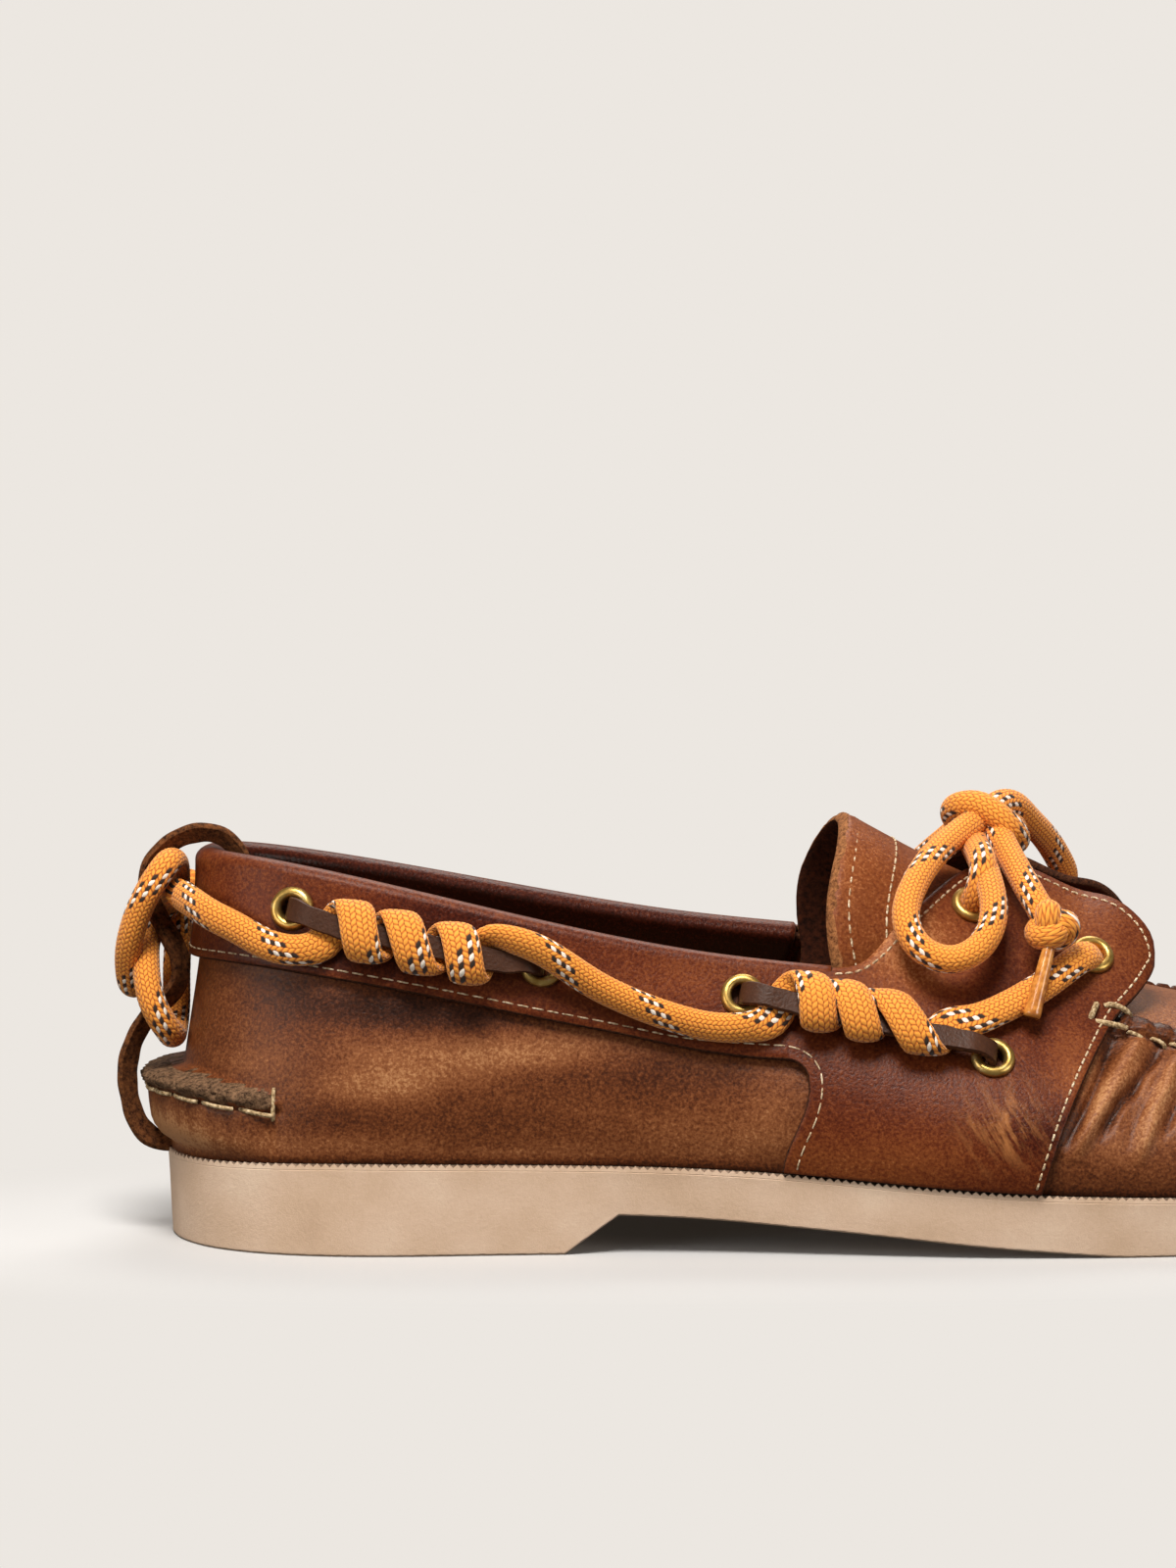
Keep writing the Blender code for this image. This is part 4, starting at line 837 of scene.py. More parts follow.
def braid_uv(mesh, along, columns, around):
    """The braid's UV map. A face across the tube's seam counts on past the last column."""
    corner = np.empty(len(mesh.loops), int)
    mesh.loops.foreach_get("vertex_index", corner)
    face_of = np.repeat(np.arange(len(mesh.polygons)), [len(face.vertices) for face in mesh.polygons])
    step, ring_place = np.divmod(corner, around)
    low = np.full(len(mesh.polygons), around)
    high = np.zeros(len(mesh.polygons), int)
    np.minimum.at(low, face_of, ring_place)
    np.maximum.at(high, face_of, ring_place)
    wraps = (high[face_of] - low[face_of] > around // 2) & (ring_place < around // 2)
    v = (ring_place + np.where(wraps, around, 0) + 0.5) * columns / around
    uv = np.stack([along[step], v], axis=1)
    mesh.uv_layers.new(name="braid").data.foreach_set("uv", uv.ravel())


def add_tube(name, rings, material, uv=None):
    """A closed tube from its rings. uv is (ridges along, columns round) for a braid."""
    count, around = rings.shape[:2]
    ends = [list(range(around))[::-1], list(range((count - 1) * around, count * around))]
    made = add_piece(name, rings.reshape(-1, 3), tube_faces(count, around).tolist() + ends, [material])
    if uv is not None:
        braid_uv(made.data, *uv, around)
    return made


# %% The lace
LACE_AROUND, LACE_STEP = 60, 0.37  # points round the lace, and millimetres from ring to ring


def add_lace(name, points, across, wide, thick):
    """A stretch of the braided lace along points that lie close together."""
    along = lengths_along(points) / BRAID_RIDGE
    columns = (np.arange(LACE_AROUND) + 0.5) * BRAID_COLUMNS / LACE_AROUND
    relief = braid_height(along[:, None], columns[None])
    rings = tube_rings(points, across, wide, thick, LACE_AROUND, relief)
    return add_tube(name, rings, lace_cord, (along, BRAID_COLUMNS))


# %% [markdown]
# ## The saddle's surface
#
# The saddle is one leather from vamp seam to vamp seam. Behind, it is the collar's band, whose top edge
# rolls over into the shoe. At the sides it comes down to the sole, and in front it rises into two flaps. It
# could be drawn flat and shrink-wrapped on the upper, but that blurs its edges, so it is worked out from the
# last's own stations and rows. Its surface is laid out first, because eyelets, thongs and lace all stand on
# it.

# %% Stations and rows
def stations_through(*legs):
    """Stations from (place, step) legs. Each runs to the next leg's place in steps of about that length.

    A place is a station if it is 1 or less, and otherwise is on the feather line at that x."""
    knots = [place if place <= 1 else station_at(place) for place, _ in legs]
    runs = [
        np.linspace(a, b, max(2, round((b - a) * SIDE_LONG / step) + 1))[:-1]
        for a, b, (_, step) in zip(knots, knots[1:], legs)
    ]
    return np.append(np.concatenate(runs), knots[-1])


def both_sides(stations):
    """Stations from the back of the heel, first down the inner side to it and then up the outer side."""
    return np.concatenate([-stations[:0:-1], stations])


CORNER_ROW = 0.7  # the row where the corner between band and quarter seam ends
LOW_ROWS = np.concatenate([np.linspace(0.04, CORNER_ROW, 30), np.linspace(CORNER_ROW, 1, 14)[1:]])
BAND_ROWS = np.linspace(1, 2, 17)
print("band rows", len(BAND_ROWS))

# %% The saddle on the upper
CORNER_START_X, QUARTER_SEAM_X, COLLAR_END_X, VAMP_SEAM_X = 117.4, 123.4, 125.2, 174.3
SADDLE_GAP = 0.65
MID = SADDLE_GAP + SADDLE_LEATHER / 2  # from the upper's outer face to the middle of the saddle's leather
SEAM_FORWARD, SEAM_DROP = 3.2, 2.0  # how far the corner between band and quarter seam is drawn out


def saddle_middle(stations, rows):
    """The middle of the saddle's leather on the upper, with the quarter seam's corner drawn out."""
    stations, small = np.asarray(stations, float), 1e-3
    flat, normals = wall_grid(stations, rows)[0], wall_normals(stations, rows)
    along = unit(wall_grid(stations + small, rows)[0] - wall_grid(stations - small, rows)[0])
    along *= np.sign(stations)[:, None, None]
    down = np.cross(along, normals)
    down *= -np.sign(down[..., 2:])
    x, rows = RING["x"](stations)[:, None], np.broadcast_to(np.asarray(rows, float), flat.shape[:2])
    forward = smoothstep(0.05, 0.6, rows) * (1 - smoothstep(1.0, 1.4, rows)) * bell(x, QUARTER_SEAM_X, 26)
    lower = smoothstep(0.4, 1.0, rows) * (1 - smoothstep(1.0, 1.7, rows)) * bell(x, 116, 34)
    drawn = along * forward[..., None] * SEAM_FORWARD + down * lower[..., None] * SEAM_DROP
    return flat + normals * MID + drawn


# %% The flaps
FLAP_COLUMNS = ("at", "x", "y", "z", "bow", "push")
FLAP_EDGE = (
    (125.2, 132, -31.3, 57, 0, 0),
    (129.5, 140.2, -31.2, 57.6, 0.3, 0),
    (134.5, 146.8, -27.4, 63.2, 1, 0),
    (140.5, 153.8, -21.6, 68.8, 1.8, 0),
    (148.5, 165.6, -10.6, 74.8, 2.6, 0),
    (157.5, 179.4, -8, 73.9, 3.2, 0),
    (164.5, 189.8, -8.2, 69.3, 3.2, 0),
    (169.5, 197.6, -10.6, 66.9, 2.6, 0),
    (171.4, 200.8, -13, 64, 2, 0.4),
    (173, 202.7, -16.2, 60.2, 1.4, 1.2),
    (174.3, 202.2, -20, 55.8, 1, 1.8),
)
FLAP_ROWS, FLAP_HANDLE = 22, 0.33


def corner_rows(stations):
    """The row of the rounded corner's edge at stations between the corner's start and the quarter seam."""
    start, seam = station_at(CORNER_START_X), station_at(QUARTER_SEAM_X)
    share = np.clip((np.abs(stations) - start) / (seam - start), 0, 1)
    return CORNER_ROW + (1 - CORNER_ROW) * np.sqrt(1 - share**2)


def flap_grid(side, way):
    """The flap on one side, from the throat to its free edge, as (stations, rows)."""
    panel = saddle_middle(side * way, BAND_ROWS[-2:])
    base, rise = panel[:, -1], unit(panel[:, -1] - panel[:, -2])
    knots = [station_at(row[0]) for row in FLAP_EDGE]
    edges = [spline(knots, [row[k] for row in FLAP_EDGE]) for k in range(1, len(FLAP_COLUMNS))]
    x, y, z, bow, push = (edge(side) for edge in edges)
    if way < 0:  # the inner side stands a little higher
        z = z + (RING["z_top"](-side) - RING["z_top"](side)) * 0.5
    edge = np.stack([x, y * way, z], axis=-1)
    edge[0] = base[0]
    chord = edge - base
    outward = unit(np.cross(np.gradient(edge, axis=0), chord + (0, 0, 1e-6))) * way
    reach = np.linalg.norm(chord, axis=1, keepdims=True)
    forward = np.stack([push, 0 * push, 0 * push], axis=-1)
    first = base + rise * reach * FLAP_HANDLE + forward
    second = edge - chord * FLAP_HANDLE + outward * bow[:, None] + forward
    share = np.linspace(0, 1, FLAP_ROWS)[:, None]
    return bezier(base[:, None], first[:, None], second[:, None], edge[:, None], share)


# %% The saddle as one sheet
ROLL_RADIUS, ROLL_FLAT = WALL / 2 + MID, 0.72  # of the collar's edge, and how much flatter than round it is
ROLL_INSIDE = 7.0
band_half = stations_through((0, 1.3), (CORNER_START_X, 0.9), (QUARTER_SEAM_X, 1.0), (COLLAR_END_X, 1.0))
side_half = stations_through((QUARTER_SEAM_X, 1.0), (COLLAR_END_X, 1.0), (164, 0.6), (VAMP_SEAM_X, 1.0))
collar_end = int(np.argmin(np.abs(side_half - station_at(COLLAR_END_X))))
quarter_seam = int(np.argmin(np.abs(band_half - station_at(QUARTER_SEAM_X))))
corner_start = int(np.argmin(np.abs(band_half - station_at(CORNER_START_X))))
# The saddle's patches hold its own light and dark, with painted highlights on the flaps and beside the vamp
# seam.
SADDLE_PATCHES = (  # x, z, half width, half height, tone
    (140, 19, 22, 7, 0.35), (150, 62, 14, 10, 0.75), (186, 62, 12, 12, 0.3),
    (134, 36, 14, 8, -0.15), (176, 25, 14, 6, -0.35), (174, 50, 12, 7, -0.1),
    (182, 38, 5, 8, 0.4), (44, 61, 26, 5, -0.4), (60, 68.5, 20, 6, -0.5),
    (100, 56, 14, 5, 0.2),
)


def saddle_sheet():
    """The saddle, and its free edges: the stitched rear edge and the flaps' edges, as lines of points."""
    sheet = Sheet("tone", "scuff")
    stations = both_sides(band_half)
    band = saddle_middle(stations, BAND_ROWS)
    beyond = len(band_half) - 1 - quarter_seam
    cells = np.ones((len(stations) - 1, len(BAND_ROWS) - 1), bool)
    cells[:beyond] = cells[len(cells) - beyond :] = False  # past the quarter seams the side panels take over
    sheet.add_grid(band, cells=cells, tone=painted(band, SADDLE_PATCHES))
    out, up = wall_normals(stations, BAND_ROWS[-1:])[:, 0], unit(band[:, -1] - band[:, -2])
    centre = band[:, -1] - out * ROLL_RADIUS
    turns = np.linspace(0, math.pi, 15)
    roll = [centre + ROLL_RADIUS * (out * math.cos(turn) + up * math.sin(turn) * ROLL_FLAT) for turn in turns]
    roll += [roll[-1] - up * ROLL_INSIDE * share for share in (0.25, 0.5, 0.75, 1.0)]
    # The roll is painted darker as it turns into the shoe, and darkest on its inside strip: painted shade
    # inside the collar.
    roll_painted_shade = -0.35 * smoothstep(0.9, 2, turns) - 0.65 * smoothstep(2.3, 3.1, turns)
    sheet.add_grid(np.stack(roll, axis=1), tone=np.append(roll_painted_shade, [-1] * 4)[None])
    free_edges = {}
    rear = []
    for way, word in SIDES:
        rows = np.concatenate([LOW_ROWS, BAND_ROWS[1:]])
        panel = saddle_middle(side_half * way, rows)
        flap = flap_grid(side_half[collar_end:], way)
        scuff = bell(panel[..., 0], 167, 14) * bell(panel[..., 2], 27, 13)
        sheet.add_grid(panel[::way], scuff=scuff[::way], tone=painted(panel, SADDLE_PATCHES)[::way])
        sheet.add_grid(flap[::way], tone=painted(flap, SADDLE_PATCHES)[::way])
        corner = band_half[corner_start : quarter_seam + 1] * way
        low = corner_rows(corner)[:, None]
        share = (LOW_ROWS[LOW_ROWS >= CORNER_ROW] - CORNER_ROW) / (1 - CORNER_ROW)
        patch = saddle_middle(corner, low + share[None] * (1 - low))
        sheet.add_grid(patch[::way])
        free_edges[word] = np.concatenate([flap[1:, -1], flap[-1, -2::-1], panel[-1, -2::-1]])
        rear.append(np.concatenate([panel[0, : int(np.sum(LOW_ROWS < CORNER_ROW - 1e-6))], patch[::-1, 0]]))
    drop = beyond + quarter_seam - corner_start
    band_edge = band[drop : len(band) - drop, 0]
    free_edges["rear"] = np.concatenate([rear[1], band_edge[1:-1], rear[0][::-1]])
    return sheet, free_edges


saddle_leather_sheet, free_edges = saddle_sheet()
points, _, _, faces = saddle_leather_sheet.joined()
skin = points + point_normals(points, faces) * SADDLE_LEATHER / 2
saddle_skin = BVHTree.FromPolygons(skin.tolist(), corner_lists(faces))
print("saddle skin", len(faces), "faces")

# %% Places on the saddle
EYELETS = {
    "1": (24.4, 70.2), "2": (74.6, 59.1), "3": (115.4, 52.7),
    "4": (165.7, 40.2), "5": (189.2, 58.4), "6": (164.9, 68.6),
}
INNER_DROP = 2.0  # how much lower the lace and its eyelets sit on the inner side


class Side:
    """One side of the saddle's outer face, which is what its eyelets, thongs and lace lie against."""

    def __init__(self, way):
        self.way = way

    def at(self, x, z):
        """The point of the saddle's face seen from the side at x and z, and the direction out of it."""
        start = Vector((x, -200.0 * self.way, z if self.way > 0 else z - INNER_DROP))
        point, normal, _, _ = saddle_skin.ray_cast(start, Vector((0, self.way, 0)))
        if point is None:
            raise ValueError(f"no saddle at {x:.1f}, {z:.1f}")
        return np.array(point), np.array(normal)

    def off(self, x, z, distance):
        point, normal = self.at(x, z)
        return point + normal * distance


sides = {word: Side(way) for way, word in SIDES}
print("eyelets a side", len(EYELETS))

# %% [markdown]
# ## The lace along the sides
#
# The lace comes round the heel, dips through the first eyelet's thong, and is wrapped three times round each
# of two leather thongs on its way to the front eyelet. A wrapped stretch is pressed flat against its thong.
# A rope simulation could lay it, but not with each turn in its own place. So its route is a table seen from
# the side, and is laid on the saddle's surface, where lace and leather always fit.

# %% Routes
LACE_BACK = ((14.5, 65.8, 3, 0), (21, 62.4, 2.8, 0), (26.5, 61.7, 2.8, 0), (30.5, 63.2, 2.1, 0.7))
LACE_SWAG = (
    (68.6, 63.2, 6.6, 0.3), (73.2, 61.4, 7, 0.1), (78.2, 58.6, 6, 0), (84.2, 55, 4.2, 0),
    (92, 51.3, 3.2, 0), (101, 48, 2.9, 0), (110, 46, 2.9, 0), (116, 46, 2.8, 0.1),
    (120.5, 47.4, 2.1, 0.8),
)
LACE_FRONT = (
    (157, 45.6, 2, 0.9), (161.5, 46.2, 2.3, 0.5), (166, 47.2, 2.8, 0), (172.5, 49.7, 2.9, 0),
    (179, 53, 3, 0), (183.8, 55.7, 3.2, 0), (187, 57.3, 2.2, 0), (189, 58.2, -0.4, 0),
    (189.6, 58.5, -2.4, 0),
)
LACE_LOOSE, LACE_FLAT = (3.2, 2.4), (3.8, 1.75)  # half width and half thickness, loose and pressed flat
WRAP_TURNS = (-180, -90, 90, 270, 450, 630, 810, 990)  # degrees round the thong, 0 in front and 90 below
WRAPS = {  # the thong's eyelets, the lace's x at each of those turns, and how far lace and thong hang
    "back": (("1", "2"), (32.8, 36.6, 39.6, 45.6, 50.0, 56.6, 59.4, 64.4), 1.9, 1.9),
    "front": (("3", "4"), (123.6, 128.0, 130.2, 135.2, 139.0, 143.2, 150.8, 157.6), -0.6, 0.5),
}
WRAP_HIGH, WRAP_DEEP = 4.5, 2.95  # half height and half depth of a wrap, to the middle of the lace
WRAP_FROM, WRAP_STEP = -180.0, 36.0
WRAP_TO = {"back": 985.0, "front": 925.0}
THONG_OFF = 4.75  # from the saddle to the middle of a wrapped thong
LACE_HEEL_START = {
    1: ((2.7, -8.8, 71.2), (4.9, -14.2, 70.2), (8.4, -19.8, 68.4)),
    -1: ((4.6, 15.8, 70.6), (8.4, 20.6, 68.6)),
}


def wrap_points(side, run):
    """The lace round a thong: points, and the way its flat side looks."""
    (first, last), bands, hang, _ = WRAPS[run]
    start, end = np.array(EYELETS[first]), np.array(EYELETS[last])
    band_at = spline(WRAP_TURNS, bands)
    points, facing = [], []
    for turn in np.arange(WRAP_FROM, WRAP_TO[run] + 1, WRAP_STEP):
        x = float(band_at(turn))
        z = start[1] + (end[1] - start[1]) * (x - start[0]) / (end[0] - start[0]) - hang
        point, normal = side.at(x, z)
        upward = unit(np.cross(np.cross(normal, (0.0, 0.0, 1.0)), normal))
        swing = math.radians(-turn)
        off, rise = THONG_OFF + WRAP_DEEP * math.cos(swing), WRAP_HIGH * math.sin(swing)
        points.append(point + normal * off + upward * rise)
        facing.append(unit(normal * math.cos(swing) / WRAP_DEEP + upward * math.sin(swing) / WRAP_HIGH))
    return points, facing


# %% Side laces
def side_lace_route(side):
    """Points of one side's lace, the direction its width lies in, and how far it is pressed flat."""
    points = [np.array(point) for point in LACE_HEEL_START[side.way]]
    facing, flat = [np.array((-0.5, -0.8 * side.way, 0.0))] * len(points), [0.0] * len(points)
    for rows, which in ((LACE_BACK, "back"), (LACE_SWAG, "front"), (LACE_FRONT, None)):
        for x, z, off, pressed in rows:
            point, normal = side.at(x, z)
            points.append(point + normal * off)
            facing.append(normal)
            flat.append(pressed)
        if which:
            wrapped, normals = wrap_points(side, which)
            points += wrapped
            facing += normals
            flat += [1.0] * len(wrapped)
    points, flat = np.array(points), np.array(flat)
    across = unit(np.cross(facing, unit(np.gradient(points, axis=0))))
    for i in range(1, len(across)):  # a round stretch carries its neighbour's turn on
        carried = across[i - 1] if across[i - 1] @ across[i] > 0 else -across[i - 1]
        across[i] = unit(carried * (1 - flat[i]) + across[i] * flat[i])
        if across[i] @ across[i - 1] < 0:
            across[i] = -across[i]
    return points, across, flat


def finer(points, across, step=0.8):
    """A smooth line through points at about that step, with its directions."""
    knots = lengths_along(points)
    at = np.linspace(0, knots[-1], round(knots[-1] / step))
    return smooth(at, knots, points), unit(straight(at, knots, across))


for way, word in SIDES:
    points, across, flat = side_lace_route(sides[word])
    knots = lengths_along(points)
    fine, across = finer(points, across, LACE_STEP)
    flat = np.interp(np.linspace(0, knots[-1], len(fine)), knots, flat)
    wide, thick = (a + (b - a) * flat for a, b in zip(LACE_LOOSE, LACE_FLAT))
    lace = add_lace(f"side_lace_{word}", fine, across, wide, thick)
    dress(lace, "lace_cord", f"lace_{word}")
    print(f"lace along the {word} side {lengths_along(fine)[-1]:.0f} mm")

# %% [markdown]
# ## Thongs and the lace behind the heel
#
# A thong is a strip cut from thick leather. Three of them hold the lace to the shoe: two along each side,
# whose ends pass through eyelets, and one over the heel, which the lace goes round twice. A curve with a
# flat bevel could draw them, but a thong has a grain side and a suede side, so its rings are laid out here
# and each face of them gets its own finish.

# %% Thongs
THONG_WIDE, THONG_THICK = 2.3, 0.75
THONG_END = ((0.0, -1.6), (0.05, 0.6), (0.25, 2.0), (1.5, 3.4), (4.4, THONG_OFF))  # along the saddle, off it
STRIP_OUTLINE = (  # a thong's cross-section: share of its half width, share of its half thickness
    (1, 0.55), (0.9, 1), (0.5, 1.08), (0, 1.1), (-0.5, 1.08), (-0.9, 1), (-1, 0.55),
    (-1, -0.55), (-0.9, -1), (0, -1.05), (0.9, -1), (1, -0.55),
)


def add_strip(name, points, across, nodes, grain=range(7, 11)):
    """A leather thong along points: a flat strip with slightly crowned faces and square edges.

    grain names the faces of its cross-section that are the leather's grain side."""
    across, out = squared(points, across)
    at = lengths_along(points)
    waver = 1 + 0.06 * np.sin(at / 2.3) + 0.04 * np.sin(at / 0.9 + 1)
    outline = np.array(STRIP_OUTLINE)
    rings = (
        points[:, None]
        + across[:, None] * (outline[:, 0] * THONG_WIDE)[None, :, None] * waver[:, None, None]
        + out[:, None] * (outline[:, 1] * THONG_THICK)[None, :, None]
    )
    strip = add_tube(name, rings, thong_suede)
    strip.data.materials.append(thong_grain)
    place = np.arange(len(strip.data.polygons)) % len(outline)
    strip.data.polygons.foreach_set("material_index", np.isin(place, list(grain)).astype(int))
    strip.data.set_sharp_from_angle(angle=math.radians(50))
    dress(strip, "thong_leather", *nodes)


for way, word in SIDES:
    side = sides[word]
    for run, ((first, last), _, _, hang) in WRAPS.items():
        start, end = np.array(EYELETS[first]), np.array(EYELETS[last])
        length = np.linalg.norm(end - start)
        places = [(d, off) for d, off in THONG_END] + [(length * k / 8, THONG_OFF) for k in range(1, 8)]
        places += [(length - d, off) for d, off in THONG_END[::-1]]
        points, across = [], []
        for d, off in places:
            x, z = start + (end - start) * d / length
            z -= hang * min(1, d / length * 6, (1 - d / length) * 6)
            point, normal = side.at(x, z)
            points.append(point + normal * off)
            across.append(np.cross(normal, (end[0] - start[0], 0, end[1] - start[1])))
        strip, turned = finer(np.array(points), unit(np.array(across)))
        add_strip(f"thong_strip_{word}_{run}", strip, turned, [f"thong_{word}_{run}"])

# %% Behind the heel
HEEL_THONG = (
    (14.8, 0, 72), (14.7, 0, 78.4), (11.6, 0, 82.2), (6.5, 0, 83.2), (1.2, 0.2, 81.4),
    (-3, 0.4, 77.2), (-4, 0.5, 72.5), (-2.5, 0.3, 67), (0.8, 0, 61), (2.6, 0, 56),
    (1.6, 0, 51), (-2.6, 0, 46.6), (-6.4, 0, 41.6), (-8.5, 0, 34.6), (-7.9, 0, 27.2),
    (-5.8, 0, 22), (-2.4, 0, 19.3), (1.4, 0, 19),
)
THONG_TILT = 50.0  # degrees that the heel's thong is turned about its own run
HEEL_LACE = (
    (1.9, -5.6, 71.5), (1.4, -0.6, 70.6), (0.7, 4.3, 68.6), (-1, 6.2, 65.8), (-3.8, 3.6, 61.4),
    (-4.6, -1.6, 56.6), (-4.2, -5.2, 51.4), (-2.4, -6.4, 46.4), (0, -4.6, 42.6), (0.9, 0, 41.2),
    (1.4, 4.6, 42.2), (2, 8.8, 46), (2.2, 10.8, 54), (2.6, 10.8, 62), (2.2, 8.4, 69.6),
    (2, 5, 74.4), (1.4, 0.4, 77.2), (-0.2, -4.4, 77.4), (-3.2, -6.4, 73.6), (-6.2, -5.6, 67.6),
    (-8, -3.2, 61), (-8.2, 0.8, 55), (-7.2, 5.4, 51), (-5.8, 9.8, 52.6), (-4.4, 13, 58),
    (-2, 14.6, 64.4), (1.2, 14.2, 68.4), (2.6, 12.6, 70.2),
)
thong = smooth_route(HEEL_THONG, 0.8)
level, tilt = np.array([0.0, 1.0, 0.0]), math.radians(THONG_TILT)
across = level * math.cos(tilt) + np.cross(unit(np.gradient(thong, axis=0)), level) * math.sin(tilt)
add_strip("thong_strip_heel", thong, across, ["thong_heel"], grain=range(0, 5))
route = smooth_route(HEEL_LACE, LACE_STEP)
heel_lace = add_lace("heel_lace", route, carried_across(route, np.array([0.0, 0.0, 1.0])), LACE_RADIUS, 2.6)
dress(heel_lace, "lace_cord", "lace_heel")

# %% [markdown]
# ## The bow
#
# The lace's two ends come up through the flaps' eyelets and are tied in a bow, with a knot and a
# film-wrapped aglet on each end. A soft body could be pulled into a bow, but never into this one, so its
# loops are routes through a few points. They are the shoe's only free cords. The inner side's throat is the
# outer one mirrored; its loop and end have their own routes.

# %% Bow
KNOT_ROUTE = (  # the strand that is wrapped once round the bow's middle
    (171.2, 4.6, 80.8), (166.8, 4.4, 82.4), (164, 0.8, 85.4), (164.8, -4, 87.6), (167.8, -6.6, 88),
    (171, -8.2, 86.4), (174.2, -8.2, 83.6), (176.2, -5.4, 81), (176.4, -1, 79.6),
)
THROAT_ROUTE = (
    (166.6, -22.6, 75.6), (166.8, -17, 78.9), (166.8, -10.8, 79.6), (167.8, -5, 80.8), (169.8, -1.2, 82.4),
    (170.8, 0.2, 83.4),
)
LOOP_ROUTE = {
    1: (
        (170.4, -2.6, 85.2), (167.6, -6.4, 84.6), (163, -11, 82.4), (156.6, -18.6, 78.4),
        (151.4, -26.4, 72.8), (149.4, -33, 66.6), (152.2, -37.2, 61.8), (158, -38.6, 60),
        (163.6, -37.4, 62.2), (167, -33.6, 67), (167.8, -27.4, 72), (167.4, -20.4, 76),
        (166.8, -13.4, 79), (167, -8, 80.4), (169.4, -3.6, 81.4),
    ),
    -1: (
        (171.6, 2.4, 84.4), (173.2, 5, 86.2), (176.8, 8.6, 86.6), (181.2, 13.8, 83.2), (186, 20.4, 78.4),
        (190.4, 27.4, 72.6), (192.6, 33.4, 66.6), (189.6, 37.4, 61.8), (184, 38.6, 60.2),
        (179.4, 37.4, 62.6), (176.8, 33.4, 67.6), (176.4, 27, 72.8), (177.8, 20, 77),
        (178.6, 13.6, 80), (176.8, 8, 82.2), (173.6, 4.2, 82.6),
    ),
}
END_ROUTE = {
    1: (
        (170.8, -2.2, 83.8), (171.9, -7.6, 82.2), (172.8, -12.8, 79.6), (174.2, -19.4, 76),
        (175.8, -25.8, 72.2), (177.4, -29.8, 69),
    ),
    -1: (
        (170.4, 2.2, 84.2), (167.8, 7.2, 82.6), (164.8, 13, 79), (161.4, 19.6, 74.6), (158.2, 27.6, 69.2),
        (156.8, 33.6, 65),
    ),
}
STOPPER_AT = {1: (179.4, -32.4, 65.5), -1: (156.8, 37.2, 61.4)}
AGLET = {1: ((178.4, -35.4, 61.8), (174.0, -40.8, 48.2)), -1: ((157.0, 39.8, 57.6), (158.8, 45.4, 45.4))}
AGLET_RADIUS = 1.45
STOPPER_RADIUS = 2.8  # of the lace where it is pulled tight in the stopper knot
STOPPER_WIDE, STOPPER_DEEP = 1.08, 1.9


def add_cord(name, route, nodes, **facts):
    """A free stretch of lace on a smooth route. The facts given with it are not used."""
    points = smooth_route(route, LACE_STEP)
    across = carried_across(points, np.array([0.3, 0.0, 1.0]))
    cord = add_lace(name, points, across, LACE_RADIUS, LACE_RADIUS)
    dress(cord, "lace_cord", *nodes)


# %% Stopper knots
def stopper_route(centre, down):
    """A closed overhand knot pulled into a ball, its axis leaning away from the cord that it ends."""
    down = unit(down)
    level = unit(np.cross(down, (1.0, 0.2, 0.0)))
    axis = unit(down * 0.55 + level * 0.85)
    first = unit(np.cross(axis, down))
    turns = np.linspace(0, 2 * math.pi, 60)
    a, b = np.sin(turns) + 1.75 * np.sin(2 * turns), np.cos(turns) - 1.75 * np.cos(2 * turns)
    level = a[:, None] * first + b[:, None] * np.cross(axis, first)
    return centre + STOPPER_WIDE * level - STOPPER_DEEP * np.sin(3 * turns)[:, None] * axis


add_cord("bow_wrap", KNOT_ROUTE, ["bow_knot"], far_end="object", lay="taut")
for way, word in SIDES:
    side = sides[word]
    end, centre = END_ROUTE[way], np.array(STOPPER_AT[way])
    points = smooth_route(stopper_route(centre, np.array(end[-2]) - end[-1]), 0.35)
    stopper = add_lace(f"stopper_turns_{word}", points, carried_across(points, np.array([0.0, 0.0, 1.0])),
                       STOPPER_RADIUS, STOPPER_RADIUS)
    dress(stopper, "lace_cord", f"stopper_{word}")
    tip = np.array(AGLET[way])
    at = np.linspace(0, 1, 26)
    line = tip[0] + (tip[1] - tip[0]) * at[:, None]
    film = AGLET_RADIUS * (0.9 + 0.4 * at) * np.where(at > 0.97, 0.9, 1)
    rings = tube_rings(line, carried_across(line, np.array([1.0, 0, 0])), film, film, 20)
    aglet = add_tube(f"aglet_film_{word}", rings, aglet_film)
    dress(aglet, "aglet_film", f"aglet_{word}")
    throat = [side.off(*EYELETS["6"], off) for off in (-1.8, 0.6, 2.6)]
    throat += list(np.array(THROAT_ROUTE) * (1, way, 1))
    add_cord(f"bow_throat_{word}", throat, [f"lace_throat_{word}"], far_end="object", lay="hanging")
    add_cord(f"bow_tail_{word}", [*end, centre], [f"bow_end_{word}"], far_end="knot", lay="hanging",
             with_pieces=[stopper, aglet])
    add_cord(f"bow_ring_{word}", LOOP_ROUTE[way], [f"bow_loop_{word}"], far_end="object", lay="hanging")

# %% [markdown]
# ## Sole
#
# The sole is a wedge of pale crepe with a low heel. Its top edge is pinked: a row of small teeth stands up
# round the upper. A cut-out with a Bevel modifier would give the plain slab, but not the teeth, the heel's
# slanted breast and the toe spring at once. So it is lofted from outlines, one above another, each of which
# follows the feather line.

# %% Outlines
BREAST_FOOT, BREAST_TOP, HEEL_LIFT = 79.0, 90.0, 8.0
SOLE_FOOT = (
    (90, 8), (105, 7.4), (125, 5.9), (145, 4.1), (165, 2.1), (182, 0.7), (192, 0), (207, 0),
    (222, 0.5), (245, 2.2), (272, 4.9), (300, 9),
)
sole_foot = table_curve(SOLE_FOOT)


